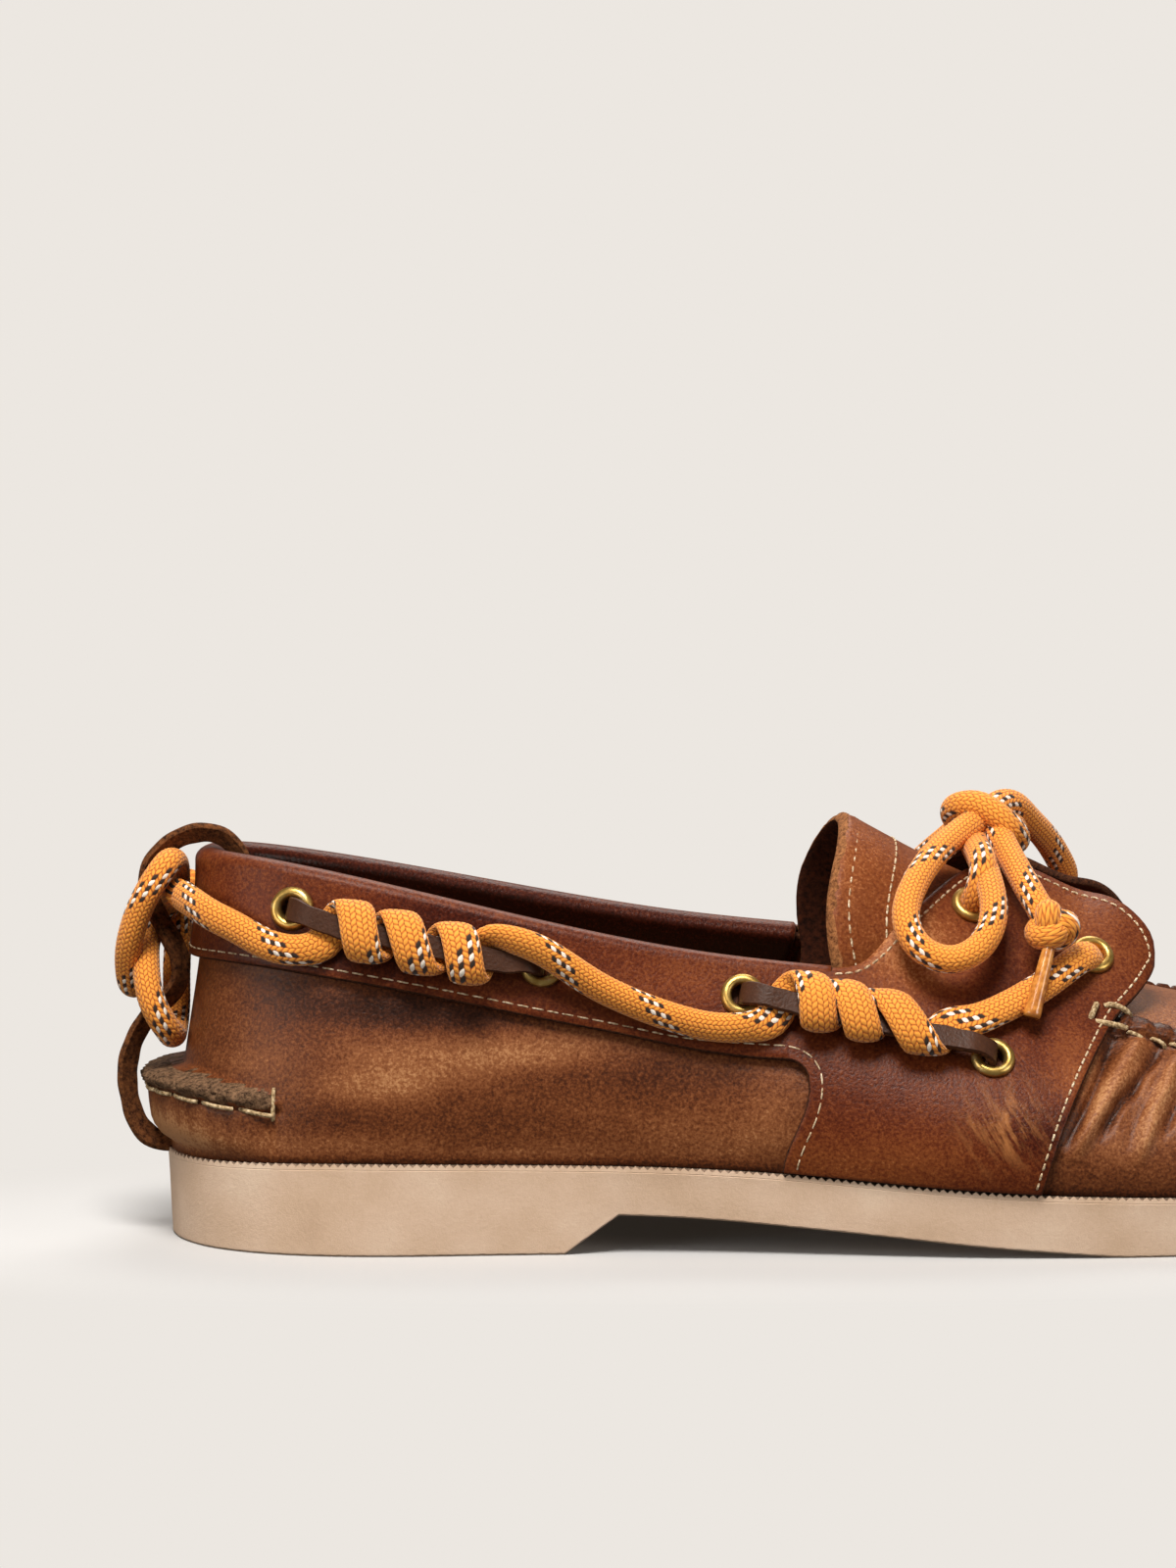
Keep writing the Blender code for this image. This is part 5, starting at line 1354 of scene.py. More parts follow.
def outline_pair(stations, out_by, height):
    """The feather line moved out, at heights that follow its place along the shoe."""
    pair = []
    for way in (1, -1):
        line = np.stack([RING["x"](stations), RING["y"](way * stations), np.zeros_like(stations)], axis=-1)
        line = line + out_of(way * stations) * np.asarray(out_by)[..., None]
        line[:, 2] = height(RING["x"](stations))
        pair.append(line)
    for end in (0, -1):
        pair[1][end] = pair[0][end] = (pair[0][end] + pair[1][end]) / 2
    return pair


def sole_underside(x):
    """Flat heel, slanted breast, arch, flat tread under the ball, and toe spring."""
    breast = HEEL_LIFT * (x - BREAST_FOOT) / (BREAST_TOP - BREAST_FOOT)
    return np.where(x <= BREAST_FOOT, 0.0, np.where(x < BREAST_TOP, breast, np.maximum(sole_foot(x), 0)))


def sole_height(share, rise):
    """A height along the sole, from its top at share 0 to its underside at share 1, raised by rise."""
    return lambda x: sole_top(x) * (1 - share) + sole_underside(x) * share + rise


# %% Slabs
def slab(name, outlines, material, across, soil):
    """A solid between outlines, from the top one down. Each is an outer and an inner line that share ends.

    soil is how dark each outline is made, from 0 to 1: on the outsole, painted shade at the top and grime at
    the bottom."""
    sheet, soil = Sheet("soil"), np.array(soil, float)
    share = np.linspace(0, 1, across)[None, :, None]
    (top_out, top_in), (foot_out, foot_in) = outlines[0], outlines[-1]
    sheet.add_grid(top_out[:, None] * (1 - share) + top_in[:, None] * share, soil=soil[0])
    sheet.add_grid(foot_in[:, None] * (1 - share) + foot_out[:, None] * share, soil=soil[-1])
    sheet.add_grid(np.stack([outline[0] for outline in outlines[::-1]], axis=1), soil=soil[None, ::-1])
    sheet.add_grid(np.stack([outline[1] for outline in outlines], axis=1), soil=soil[None])
    points, _, values, faces = sheet.joined()
    return add_piece(name, points, faces, [material], values=values, sharp_degrees=30)


# %% Outsole
TOOTH_PITCH, TOOTH_HIGH = 1.65, 0.85
SOLE_EDGE, SOLE_TAPER = 1.6, 0.8  # how far the sole stands out, and how much less it does below
SOLE_NARROW = SOLE_EDGE - SOLE_TAPER
sole_stations = np.linspace(0, 1, round(SIDE_LONG / (TOOTH_PITCH / 4)) + 1)
tooth = 1 - np.abs(2 * np.mod(sole_stations * SIDE_LONG / TOOTH_PITCH, 1) - 1)
ragged = 0.15 * np.sin(sole_stations * 517) + 0.1 * np.sin(sole_stations * 1231 + 2)
# The last column darkens the crepe: at the top rows it is painted shade between the teeth, at the groove a
# darker line, and at the underside grime.
SOLE_LEVELS = (  # how far out, from top 0 to underside 1, how much higher, how dirty
    (0.2, 0, 0, 1),
    (0.75, 0, TOOTH_HIGH * tooth * 0.3, 1.0),
    (1.2, 0, TOOTH_HIGH * (tooth - 0.55), 1.0),
    (SOLE_EDGE, 0, TOOTH_HIGH * (tooth - 0.5), 0.0),
    (SOLE_EDGE, 0, -0.85, 0.0),
    (SOLE_EDGE - 0.08, 0, -0.95, 0.2),
    (SOLE_EDGE, 0, -1.1, 0.0),
    *((SOLE_EDGE - SOLE_TAPER * share, share, 0.0, 0.0) for share in (0.25, 0.5, 0.75)),
    (SOLE_NARROW, 1, 0.9, 0.05),
    (SOLE_NARROW + 0.1 * ragged, 1, 0.45 + 0.3 * ragged, 0.3),
    (SOLE_NARROW - 0.25, 1, 0.1, 0.7),
    (SOLE_NARROW - 0.8, 1, 0.0, 0.8),
)
outlines = [outline_pair(sole_stations, out, sole_height(share, rise)) for out, share, rise, _ in SOLE_LEVELS]
outsole = slab("crepe_sole", outlines, sole_rubber, 6, [soil for *_, soil in SOLE_LEVELS])
dress(outsole, "sole_rubber", "outsole")

# %% Insole
INSOLE_THICK, INSOLE_CLEAR = 3.0, 0.9
INSOLE_LEVELS = (  # how far in, how high
    (1.6, INSOLE_THICK - 0.1), (0.5, INSOLE_THICK), (0.0, INSOLE_THICK - 0.5), (0.0, 0.0),
)
insole_stations = np.linspace(0, 1, 220)
outlines = [
    outline_pair(insole_stations, -(WALL + INSOLE_CLEAR) - inset, sole_height(0, GAP + high))
    for inset, high in INSOLE_LEVELS
]
insole = slab("sock_insole", outlines, insole_leather, 14, np.zeros(len(outlines)))
dress(insole, "insole_leather", "insole")

# %% [markdown]
# ## Upper
#
# Vamp, quarters and plug are one hollow wall here. The vamp's leather is longer than the plug that it is
# sewn to, so it gathers into puckers below the moc seam, and the foot's bend has set long creases in it. At
# the heel a cup is sewn over the quarters, and its raw edge stands up as a ridge. A cloth simulation would
# fold the leather by chance. Relief on one fine grid puts each crease where it belongs, and moves the grain
# side alone. The main creases are given as lines seen from the side.

# %% Creases and patches
CREASES = (  # half width, height (below 0 for a trough), and the line as x, z
    (3, 2.1, ((198.6, 43), (192.2, 35.6), (186, 28.6), (181.4, 21.8))),
    (1.5, -1.9, ((192.6, 44), (187.4, 35.4), (182.2, 27), (179.8, 23.4))),
    (1.6, -1.8, ((201.6, 40.6), (196.4, 35.4), (190.4, 29.6), (186.6, 24.6))),
    (2.4, 1.7, ((205.4, 39.6), (200.6, 32.6), (196.4, 24.8), (194.8, 20.6))),
    (1.5, -1.5, ((209, 38), (204.4, 32.2), (200, 25))),
    (2.8, 1, ((213, 37.4), (208.8, 31.6), (204.6, 24.6))),
    (1.6, -0.8, ((216.6, 36.6), (212.6, 31))),
    (0.7, -0.5, ((199.8, 37), (195, 31.4), (191.8, 26.4))),
    (0.7, -0.45, ((198, 33), (194.2, 27.6), (192.6, 22.4))),
    (0.6, -0.4, ((196.4, 30.4), (193, 25), (190.6, 20.8))),
)
# The upper's patches hold its own light and dark, with painted shade in a strip under the collar band and
# painted highlights: the sheen across the quarter, the heel cup that faces down, and the crease beside the
# flap's front.
PATCHES = (  # x, z, half width, half height, tone
    (26, 51, 11, 6, -0.5), (46, 50.5, 16, 4.5, -0.7),
    (62, 48.5, 8, 3, -0.45), (54, 40, 20, 5, 0.55), (74, 42, 14, 4, 0.45),
    (40, 35, 14, 3.5, 0.5), (30, 28.5, 12, 3, -0.2), (62, 28, 20, 5, -0.15),
    (94, 36, 26, 4.5, -0.3), (108, 24, 20, 5, 0.25), (121, 30, 6, 10, 0.25),
    (1, 23, 10, 6, 1), (24, 22, 26, 3.5, 0.4), (74, 20, 26, 3, 0.3),
    (16, 39, 8, 3, 0.3), (196, 30, 9, 8, 0.35), (186, 36, 3.5, 9, 0.6),
    (206, 28, 5, 8, 0.15), (190, 22, 8, 4, 0.3),
)
print("creases", len(CREASES), "patches", len(PATCHES))

# %% The heel cup's profile
CUP_SWELL, CUP_REACH = 8.2, 37.0  # how far the cup stands out at the back, and how far it reaches round
HEEL_STITCH = 7.4  # millimetres from stitch to stitch along the cup's seam
RIDGE_RISE = ((0, 1.5), (14, 1.8), (20, 1.2), (26, 0.4), (31, -0.4), (37, -1.6))
CUP_TABLE = (
    (0, 0.1), (1, 0.34), (2.5, 0.54), (4.5, 0.68), (8, 0.78), (10.6, 0.84), (11.4, 0.82), (12.2, 0.91),
    (13.6, 0.99), (14.6, 0.88), (15.4, 0.52), (16.2, 0), (60, 0),
)
heights = np.arange(0, 60, 0.1)
profile = np.interp(heights, *zip(*CUP_TABLE))
profile = np.convolve(np.pad(profile, 3, mode="edge"), np.ones(7) / 7, mode="valid")


def cup_share(round_heel):
    """How much of its swell the cup still has, this far round the heel."""
    return np.cos(np.clip(np.abs(round_heel) / CUP_REACH, 0, 1) * math.pi / 2) ** 0.8


print("the cup's edge stands out", round(CUP_SWELL * profile.max(), 1), "mm")


# %% The vamp's creases
def away_from(points, line):
    """How far 2-D points are from a smooth line, and how far along it the nearest place is, from 0 to 1."""
    line = np.array(line, float)
    knots = lengths_along(line)
    at = np.linspace(0, knots[-1], 40)
    fine = smooth(at, knots, line)
    apart = np.linalg.norm(points[..., None, :] - fine, axis=-1)
    return apart.min(axis=-1), apart.argmin(axis=-1) / (len(at) - 1)


def creased(wall):
    """Height of the listed creases at each point of the vamp."""
    seen = wall[..., [0, 2]] - np.where(wall[..., 1:2] > 0, (2.0, 1.0), (0.0, 0.0))
    near = (wall[..., 0] > 174) & (wall[..., 0] < 224)
    bent = np.stack([seen[..., 0] - 0.75 * seen[..., 1], 0.22 * seen[..., 1], 0.22 * wall[..., 1]], axis=-1)
    high = 0.8 * rough(bent, 1.7) * bell(seen[..., 0], 198, 14) * bell(seen[..., 1], 34, 11)
    for half, rise, line in CREASES:
        apart, along = away_from(seen[near], line)
        fade = np.clip(1.25 - np.abs(2 * along - 1) ** 3, 0, 1)
        high[near] += rise * (1 - smoothstep(0, half, apart)) * fade
    return high


# %% The moc seam's ridge
PLUG_BACK_X, MOC_PITCH, RIDGE_HIGH = 175.4, 4.9, 2.0


def ridge_share(stations):
    """1 where the moc seam's ridge stands, 0 behind it."""
    return np.clip((np.abs(stations) - station_at(PLUG_BACK_X)) / 0.004, 0, 1)


def notched(stations):
    """The ridge is drawn in where a stitch goes through it."""
    phase = np.mod(np.abs(stations) * SIDE_LONG / MOC_PITCH + 0.5, 1) - 0.5
    return 1 - 0.4 * bell(phase, 0, 0.2)


print("moc seam stitches", round(2 * (1 - station_at(PLUG_BACK_X)) * SIDE_LONG / MOC_PITCH))

# %% The upper's wall
ROWS = np.concatenate([
    np.linspace(0, 0.2, 6), np.linspace(0.2, 0.5, 21)[1:], np.linspace(0.5, 1, 15)[1:],
    np.linspace(1, 1.76, 18)[1:], np.linspace(1.76, 2, 9)[1:],
])
upper_half = stations_through((0, 0.7), (36, 1.5), (124, 1.8), (172, 0.9), (262, 1.2), (1, 1))
ring_stations = both_sides(upper_half)
wall, height = wall_grid(ring_stations, ROWS)
normals = wall_normals(ring_stations, ROWS)
below_seam = height[:, -1:] - height
round_heel = np.abs(ring_stations) * SIDE_LONG
print("the upper's grid", wall.shape[:2])

# %% Relief of cup, puckers and creases
PUCKER_PITCH, PUCKER_DEEP, PUCKER_REACH = 7.2, 1.0, 13.0
CUP_SEAM, SEAM_SCALLOP = 11.2, 0.9  # height of the cup's seam, and how far it rises at a stitch hole
RAW_END, RAW_ROUND, RAW_TOP = 37.6, 3.4, 16.1  # of the raw edge: its end, its end's rounding, and its height
cup_height = height - np.interp(round_heel, *zip(*RIDGE_RISE))[:, None]
swell = CUP_SWELL * cup_share(round_heel)[:, None] * np.interp(cup_height, heights, profile[: len(heights)])
fray = rough(wall, 1.1)
lip = bell(cup_height, 13.7 + 0.5 * rough(wall, 4.0), 2.4) * smoothstep(38.4, 36.6, round_heel)[:, None]
scallop = SEAM_SCALLOP * (1 - np.abs(np.sin(math.pi * round_heel / HEEL_STITCH)))
seam_line = (CUP_SEAM + scallop)[:, None]
past_end = 1 - np.sqrt(1 - np.clip((round_heel - RAW_END + RAW_ROUND) / RAW_ROUND, 0, 1) ** 2)[:, None]
stitch_pull = bell(cup_height, seam_line, 1.3) * smoothstep(39, 37, round_heel)[:, None]
pucker_phase = round_heel / PUCKER_PITCH + 0.12 * np.sin(round_heel / 9)
pucker_fade = np.clip((np.abs(RING["x_top"](ring_stations)) - 212) / 12, 0, 1)
pucker = PUCKER_DEEP * np.cos(2 * math.pi * pucker_phase) * pucker_fade
pucker = pucker[:, None] * np.exp(-((below_seam / PUCKER_REACH) ** 2)) * smoothstep(0.3, 3.0, below_seam)
crease = creased(wall)
ridge = smoothstep(1.80, 1.90, ROWS)[None] * (ridge_share(ring_stations) * notched(ring_stations))[:, None]
risen = 0.5 * lip + 0.9 * lip * fray - 0.8 * stitch_pull + pucker + crease + ridge * RIDGE_HIGH
lifts = out_of(ring_stations)[:, None] * swell[..., None] + normals * risen[..., None]
print("the relief reaches", round(float(np.linalg.norm(lifts, axis=-1).max()), 1), "mm")

# %% Light and dark on the upper, with painted highlights and painted shade
# Crests of creases and puckers are lighter, partly as stretched pull-up leather pales and partly as a painted
# highlight; their troughs get painted shade. The foot of the wall is darker where it meets the sole: painted
# shade.
tone = painted(wall, PATCHES) + 0.4 * np.clip(crease + pucker, -1.8, 1.0)
tone -= 0.5 * bell(height, 0.0, 2.6) + 0.3 * (ridge > 0.02)
# The pleats are light and dark streaks round the heel cup below its seam, with no relief under them: their
# light and shade are painted.
pleats = np.sin(round_heel * 1.5 + np.sin(round_heel * 0.7)) * smoothstep(36, 26, round_heel)
tone += 0.14 * pleats[:, None] * smoothstep(11.5, 8, cup_height) * smoothstep(0, 3, height)
raw = (cup_height > seam_line + 0.2 + 2 * past_end) & (cup_height < RAW_TOP + 0.3 * fray - 2 * past_end)
raw &= (round_heel < RAW_END)[:, None]

upper = Sheet("tone", "scuff", "raw")
upper.add_grid(wall, lifts, tone=tone, raw=raw)


# %% The moc seam's ridge on the plug
RIDGE_PROFILE = (  # how far inside the seam, and the share of the ridge's height
    (0, 1), (0.35, 1.07), (0.8, 1.05), (1.2, 0.9), (1.5, 0.5), (1.9, 0), (2.3, -0.15), (3.2, 0),
)


def top_line(stations, inset):
    """The moc seam moved in level by inset, where it lies on the plug."""
    along = run_on(stations, "x_top", "y_top")
    x = RING["x_top"](stations) - along[:, 1] * inset
    y = RING["y_top"](stations) + along[:, 0] * inset
    return np.stack([x, y, plug_height(x, y)], axis=-1)


seam = upper_half[upper_half >= station_at(PLUG_BACK_X) - 1e-6]
seam = np.concatenate([seam, -seam[-2::-1]])
row_of = [int(np.argmin(np.abs(ring_stations - s))) for s in seam]
edge_normals = normals[row_of, -1]
insets, inset_lifts = [], []
for inset, share in RIDGE_PROFILE:
    insets.append(wall[row_of, -1] if inset == 0 else top_line(seam, inset))
    lean = np.clip(inset / 1.3, 0, 1)
    rise = RIDGE_HIGH * share * ridge_share(seam) * (notched(seam) if share > 0 else 1)
    inset_lifts.append((edge_normals * (1 - lean) + np.array([0, 0, 1.0]) * lean) * rise[:, None])
upper.add_grid(np.stack(insets, axis=1), np.stack(inset_lifts, axis=1), tone=-0.5)

# %% Plug and upper piece
half_way = len(seam) // 2 + 1
outer, inner = insets[-1][:half_way], insets[-1][::-1][:half_way]
shares = np.linspace(0, 1, 40)[None, :, None]
cap = outer[:, None] * (1 - shares) + inner[:, None] * shares
cap[:, 1:-1, 2] = plug_height(cap[:, 1:-1, 0], cap[:, 1:-1, 1])
# The plug's crown is painted lighter: painted light, as it faces up to the key light.
upper.add_grid(cap, tone=0.35)
points, values, faces, face_sides = thickened(upper, 0.0, WALL)
face_sides = np.where((face_sides == GRAIN) & (values["raw"][faces].mean(axis=1) > 0.5), RAW, face_sides)
finishes = [upper_leather, flesh_side, cut_edge, raw_edge]
painted_on = {name: values[name] for name in ("tone", "scuff")}
upper = add_piece("vamp_and_quarters", points, faces, finishes, face_sides, painted_on)
dress(upper, "upper_leather", "upper")

# %% [markdown]
# ## Saddle and tongue
#
# The saddle's sheet was laid out above. It gets its thickness, its eyelet holes and its dark cut edges here.
# The tongue is a stiff arched tab under the flaps, standing up behind and lying on the plug in front. It
# could be bent from a flat sheet with modifiers, but its arch, its ridge and its foot are three lines that
# can be measured, so it is drawn across them.

# %% Saddle piece
HOLE_RADIUS = 3.2  # of a hole in the saddle, hidden under its eyelet's flange
holes = [sides[word].at(*place) for _, word in SIDES for place in EYELETS.values()]
points, values, faces, face_sides = thickened(
    saddle_leather_sheet, SADDLE_LEATHER / 2, SADDLE_LEATHER / 2, holes=holes, hole_radius=HOLE_RADIUS
)
finishes = [saddle_leather, flesh_side, cut_edge]
saddle = add_piece("saddle_and_band", points, faces, finishes, face_sides, values)
dress(saddle, "saddle_leather", "saddle")

# %% Tongue piece
TONGUE_RIDGE = (
    (134, 88.6), (141, 85), (149, 80.6), (156, 76.8), (165, 72.6), (175, 68), (185, 61.6), (192, 57),
    (198, 54.6),
)
TONGUE_HALF = ((134, 28.2), (150, 26.4), (170, 25.2), (180, 24.6), (192, 22), (198, 18))
TONGUE_FOOT = ((134, 49.5), (150, 47.6), (170, 47), (181, 49.6), (192, 51), (198, 50))
TONGUE_BACK_X, TONGUE_CROWN_X, TONGUE_EVEN_X, TONGUE_FRONT_X = 134.4, 141.0, 165.0, 198.0
PLUG_EDGE_X = 191.2  # where the tongue's front lies down on the plug
TONGUE_SWING = (  # height, and how far forward the back edge is there
    (54, 0.9), (62, -1.4), (71, -2.8), (79, -2.3), (87, -1.4),
)
ridge_line, half_width, foot_line = (table_curve(rows) for rows in (TONGUE_RIDGE, TONGUE_HALF, TONGUE_FOOT))
side_x = np.linspace(TONGUE_BACK_X, TONGUE_FRONT_X, 64)[:, None]
turn = np.linspace(-math.pi / 2, math.pi / 2, 81)
fade = np.clip((TONGUE_EVEN_X - side_x) / (TONGUE_EVEN_X - TONGUE_BACK_X), 0, 1)
x = side_x + (TONGUE_CROWN_X - TONGUE_BACK_X) * fade * np.cos(turn) ** 1.5
y = half_width(side_x) * np.sin(turn)
z = foot_line(side_x) + (ridge_line(x) - foot_line(side_x)) * np.cos(turn)
tongue_grid = np.stack([x, y, z], axis=-1)
rest = plug_height(x, y) + GAP + TONGUE_LEATHER / 2
tongue_grid[..., 2] = np.where(x > PLUG_EDGE_X, np.maximum(z, rest), z)
tongue_sheet = Sheet("tone", "scuff")
behind = np.exp(-(side_x - TONGUE_BACK_X) / 3)
tongue_grid[..., 0] += behind * table_curve(TONGUE_SWING)(tongue_grid[..., 2])
bevel = np.zeros_like(tongue_grid)
bevel[..., 0] = 1.5 * behind * (1 + 0.35 * rough(tongue_grid, 0.9))
# The tongue is painted lighter all over: painted light, as it faces up to the key light.
tongue_sheet.add_grid(tongue_grid, bevel, tone=0.4)
points, values, faces, face_sides = thickened(tongue_sheet, TONGUE_LEATHER / 2, TONGUE_LEATHER / 2)
finishes = [saddle_leather, flesh_side, tongue_edge]
tongue = add_piece("tongue_leather", points, faces, finishes, face_sides, values)
dress(tongue, "saddle_leather", "tongue")

# %% [markdown]
# ## Eyelets
#
# Twelve brass eyelets. Each is a turned ring with a rolled flange and a barrel that goes down into the
# leather. A lathe or a Screw modifier would turn one, to be copied, but each ring here is turned straight
# about the leather's own direction at its place, so it sits square on the curved saddle.

# %% Turned rings
EYELET_PROFILE = (  # radius, height over the leather
    (2.3, -2), (2.35, 0.5), (2.5, 1), (2.8, 1.35), (3.3, 1.5), (3.8, 1.42), (4.25, 1.12), (4.5, 0.6),
    (4.55, 0), (3.9, -0.1), (3.1, -0.5), (2.6, -2),
)
for way, word in SIDES:
    for number, place in EYELETS.items():
        point, normal = sides[word].at(*place)
        level = unit(np.cross(normal, (0.0, 0.0, 1.0)))
        up = np.cross(level, normal)
        turns = np.arange(48) * 2 * math.pi / 48
        radius, high = np.array(EYELET_PROFILE).T
        spokes = np.cos(turns)[:, None] * level + np.sin(turns)[:, None] * up
        rings = point + spokes[:, None] * radius[None, :, None] + normal * high[None, :, None]
        count = len(EYELET_PROFILE)
        i, k = np.meshgrid(np.arange(48), np.arange(count), indexing="ij")
        j, n = (i + 1) % 48, (k + 1) % count
        faces = np.stack([i * count + k, i * count + n, j * count + n, j * count + k], axis=-1).reshape(-1, 4)
        eyelet = add_piece(f"brass_ring_{word}_{number}", rings.reshape(-1, 3), faces, [brass])
        dress(eyelet, "brass", f"eyelet_{word}_{number}")

# %% [markdown]
# ## Stitches
#
# Rows of machine stitches run just inside the saddle's edges and the tongue's, and thick waxed thread closes
# the moc seam and the heel cup by hand. One stitch is a short arch of thread whose ends dive into the
# leather. An array along a curve would space them, but would not turn each one to lie on the leather. So
# Geometry Nodes set one on every point of a mesh, and the points carry the direction of the seam, the
# direction out of the leather and the stitch's length as attributes.

# %% Stitch tree
DIVE, SHOULDER = -1.6, 0.42  # how deep the ends go, as a share of the arch, and where its shoulders are


def stitch_tree():
    """Geometry Nodes that set an arch of thread on every point of a mesh."""
    tree = bpy.data.node_groups.new("stitch_row", "GeometryNodeTree")
    add = partial(add_node, tree)
    for name, kind in (("Geometry", "Geometry"), ("Thread Radius", "Float"), ("Arch Height", "Float"),
                       ("Thread", "Material")):
        tree.interface.new_socket(name, in_out="INPUT", socket_type=f"NodeSocket{kind}")
    tree.interface.new_socket("Geometry", in_out="OUTPUT", socket_type="NodeSocketGeometry")
    given = add("NodeGroupInput").outputs
    dive = add("Math", {0: given["Arch Height"], 1: DIVE}, operation="MULTIPLY")
    start, end, rise, fall = (
        add("CombineXYZ", {"X": way * x, "Z": z})
        for x, z in ((0.5, dive), (SHOULDER, given["Arch Height"])) for way in (-1, 1)
    )
    arch = add("GeometryNodeCurvePrimitiveBezierSegment", {
        "Resolution": 7, "Start": start, "Start Handle": rise, "End Handle": fall, "End": end,
    })
    along, out, long = (
        add("GeometryNodeInputNamedAttribute", {"Name": name}, data_type=kind)
        for name, kind in (("along", "FLOAT_VECTOR"), ("out", "FLOAT_VECTOR"), ("long", "FLOAT"))
    )
    turn = add("FunctionNodeAxesToRotation", {"Primary Axis": out, "Secondary Axis": along},
                    primary_axis="Z", secondary_axis="X")
    stretch = add("CombineXYZ", {"X": long, "Y": 1.0, "Z": 1.0})
    on_points = add("GeometryNodeMeshToPoints", {"Mesh": given["Geometry"]})
    placed = add("GeometryNodeInstanceOnPoints", {
        "Points": on_points, "Instance": arch,
        "Rotation": turn, "Scale": stretch,
    })
    lines = add("GeometryNodeRealizeInstances", {"Geometry": placed})
    ring = add("GeometryNodeCurvePrimitiveCircle", {"Resolution": 6, "Radius": 1.0})
    scale = add("CombineXYZ", {"X": given["Thread Radius"], "Y": given["Thread Radius"], "Z": 1.0})
    section = add("GeometryNodeTransform", {"Geometry": ring, "Scale": scale})
    threads = add("GeometryNodeCurveToMesh", {"Curve": lines, "Profile Curve": section, "Fill Caps": True})
    rounded = add("GeometryNodeSetShadeSmooth", {"Geometry": threads})
    finished = add("GeometryNodeSetMaterial", {"Geometry": rounded, "Material": given["Thread"]})
    add("NodeGroupOutput", {"Geometry": finished})
    return tree


stitches = stitch_tree()
print(stitches.name, len(stitches.nodes), "nodes")

# %% Rows of stitches
HAND_THREAD_FROM = 0.4  # a thread with a larger radius than this is the hand sewing's


def sew(name, middles, alongs, outs, longs, radius, arch):
    """A row of stitches as one mesh. Lengths are in millimetres."""
    seed = bpy.data.meshes.new(name)
    seed.from_pydata(to_world(middles).tolist(), [], [])
    for key, data in (("along", alongs), ("out", outs)):
        data = np.asarray(data, float).ravel()
        seed.attributes.new(key, "FLOAT_VECTOR", "POINT").data.foreach_set("vector", data)
    seed.attributes.new("long", "FLOAT", "POINT").data.foreach_set("value", np.asarray(longs, float) * MM)
    sewn = bpy.data.objects.new(name, seed)
    scene.collection.objects.link(sewn)
    modifier = sewn.modifiers.new("stitch_row", "NODES")
    modifier.node_group = stitches
    thread = hand_thread if radius > HAND_THREAD_FROM else machine_thread
    wanted = {"Thread Radius": radius * MM, "Arch Height": arch * MM, "Thread": thread}
    for item in stitches.interface.items_tree:
        if item.in_out == "INPUT" and item.name in wanted:
            modifier[item.identifier] = wanted[item.name]
    evaluated = sewn.evaluated_get(bpy.context.evaluated_depsgraph_get())
    finished = bpy.data.meshes.new_from_object(evaluated)
    sewn.modifiers.clear()
    sewn.data = finished
    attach(sewn, "root")
    print(name, len(middles), "stitches,", len(finished.polygons), "faces")


def spaced(line, pitch, trim=0.0):
    """Places at a pitch along a line, and the direction of the line there."""
    run = lengths_along(line)
    count = max(2, int((run[-1] - 2 * trim) / pitch))
    at = np.linspace(trim, run[-1] - trim, count + 1)
    ends = straight(at, run, line)
    return (ends[1:] + ends[:-1]) / 2, ends[1:] - ends[:-1]


# %% Machine stitches on the saddle
def inside_edge(edge, distance, turn, axis):
    """A line on the saddle's face inside one of its edges. turn is 1 or -1.

    distance is a table of how far inside it lies at places along an axis: 0 for x or 2 for z."""
    run = lengths_along(edge)
    edge = straight(np.arange(0, run[-1], 1.0), run, edge)
    along = unit(np.gradient(edge, axis=0))
    found = []
    for place, direction in zip(edge, along):
        _, normal, _, _ = saddle_skin.find_nearest(Vector(place))
        inward = np.cross(np.array(normal), direction) * turn
        target = place + inward * np.interp(place[axis], *zip(*distance))
        found.append(saddle_skin.find_nearest(Vector(target))[0])
    return np.array(found)


def sew_on_saddle(name, edge, distance, pitch, turn, axis, radius=0.24, arch=0.2, fill=0.82):
    middles, steps = spaced(inside_edge(edge, distance, turn, axis), pitch, 0.4)
    nearest = [saddle_skin.find_nearest(Vector(middle)) for middle in middles]
    middles, outs = np.array([hit[0] for hit in nearest]), np.array([hit[1] for hit in nearest])
    sew(name, middles, steps, outs, np.linalg.norm(steps, axis=1) * fill, radius, arch)


BAND_INSIDE = ((100, 1.5), (116, 2.5))
FLAP_INSIDE = ((18, 1.2), (40, 1.4), (58, 2))
sew_on_saddle("band_stitches", free_edges["rear"], BAND_INSIDE, 3.1, 1, axis=0, radius=0.18)
for way, word in SIDES:
    sew_on_saddle(f"flap_stitches_{word}", free_edges[word], FLAP_INSIDE, 2.1, -way, axis=2, fill=0.7)

# %% Tongue stitches
TONGUE_ROWS = ((5.2, 4.2, 3.4), (12.6, 12.6, 12.6))  # how far inside the rear edge, at three heights
outs_all = -unit(np.cross(np.gradient(tongue_grid, axis=0), np.gradient(tongue_grid, axis=1)))
outs_all *= np.sign(outs_all[20, 40, 2])  # the tongue's middle faces up
middles, steps, outs = [], [], []
for inside_by in TONGUE_ROWS:
    lines = tongue_grid.transpose(1, 0, 2)[3:-3]
    share = [[np.interp(line[0, 2], (54, 71, 86), inside_by) / lengths_along(line)[-1]] for line in lines]
    m, s = spaced(along_lines(lines, np.array(share))[0][:, 0], 2.6)
    nearest = [np.argmin(np.linalg.norm(tongue_grid.reshape(-1, 3) - place, axis=1)) for place in m]
    out = outs_all.reshape(-1, 3)[nearest]
    middles.append(m + out * TONGUE_LEATHER / 2)
    steps.append(s)
    outs.append(out)
middles, steps, outs = (np.concatenate(part) for part in (middles, steps, outs))
sew("tongue_stitches", middles, steps, outs, np.linalg.norm(steps, axis=1) * 0.82, 0.24, 0.2)

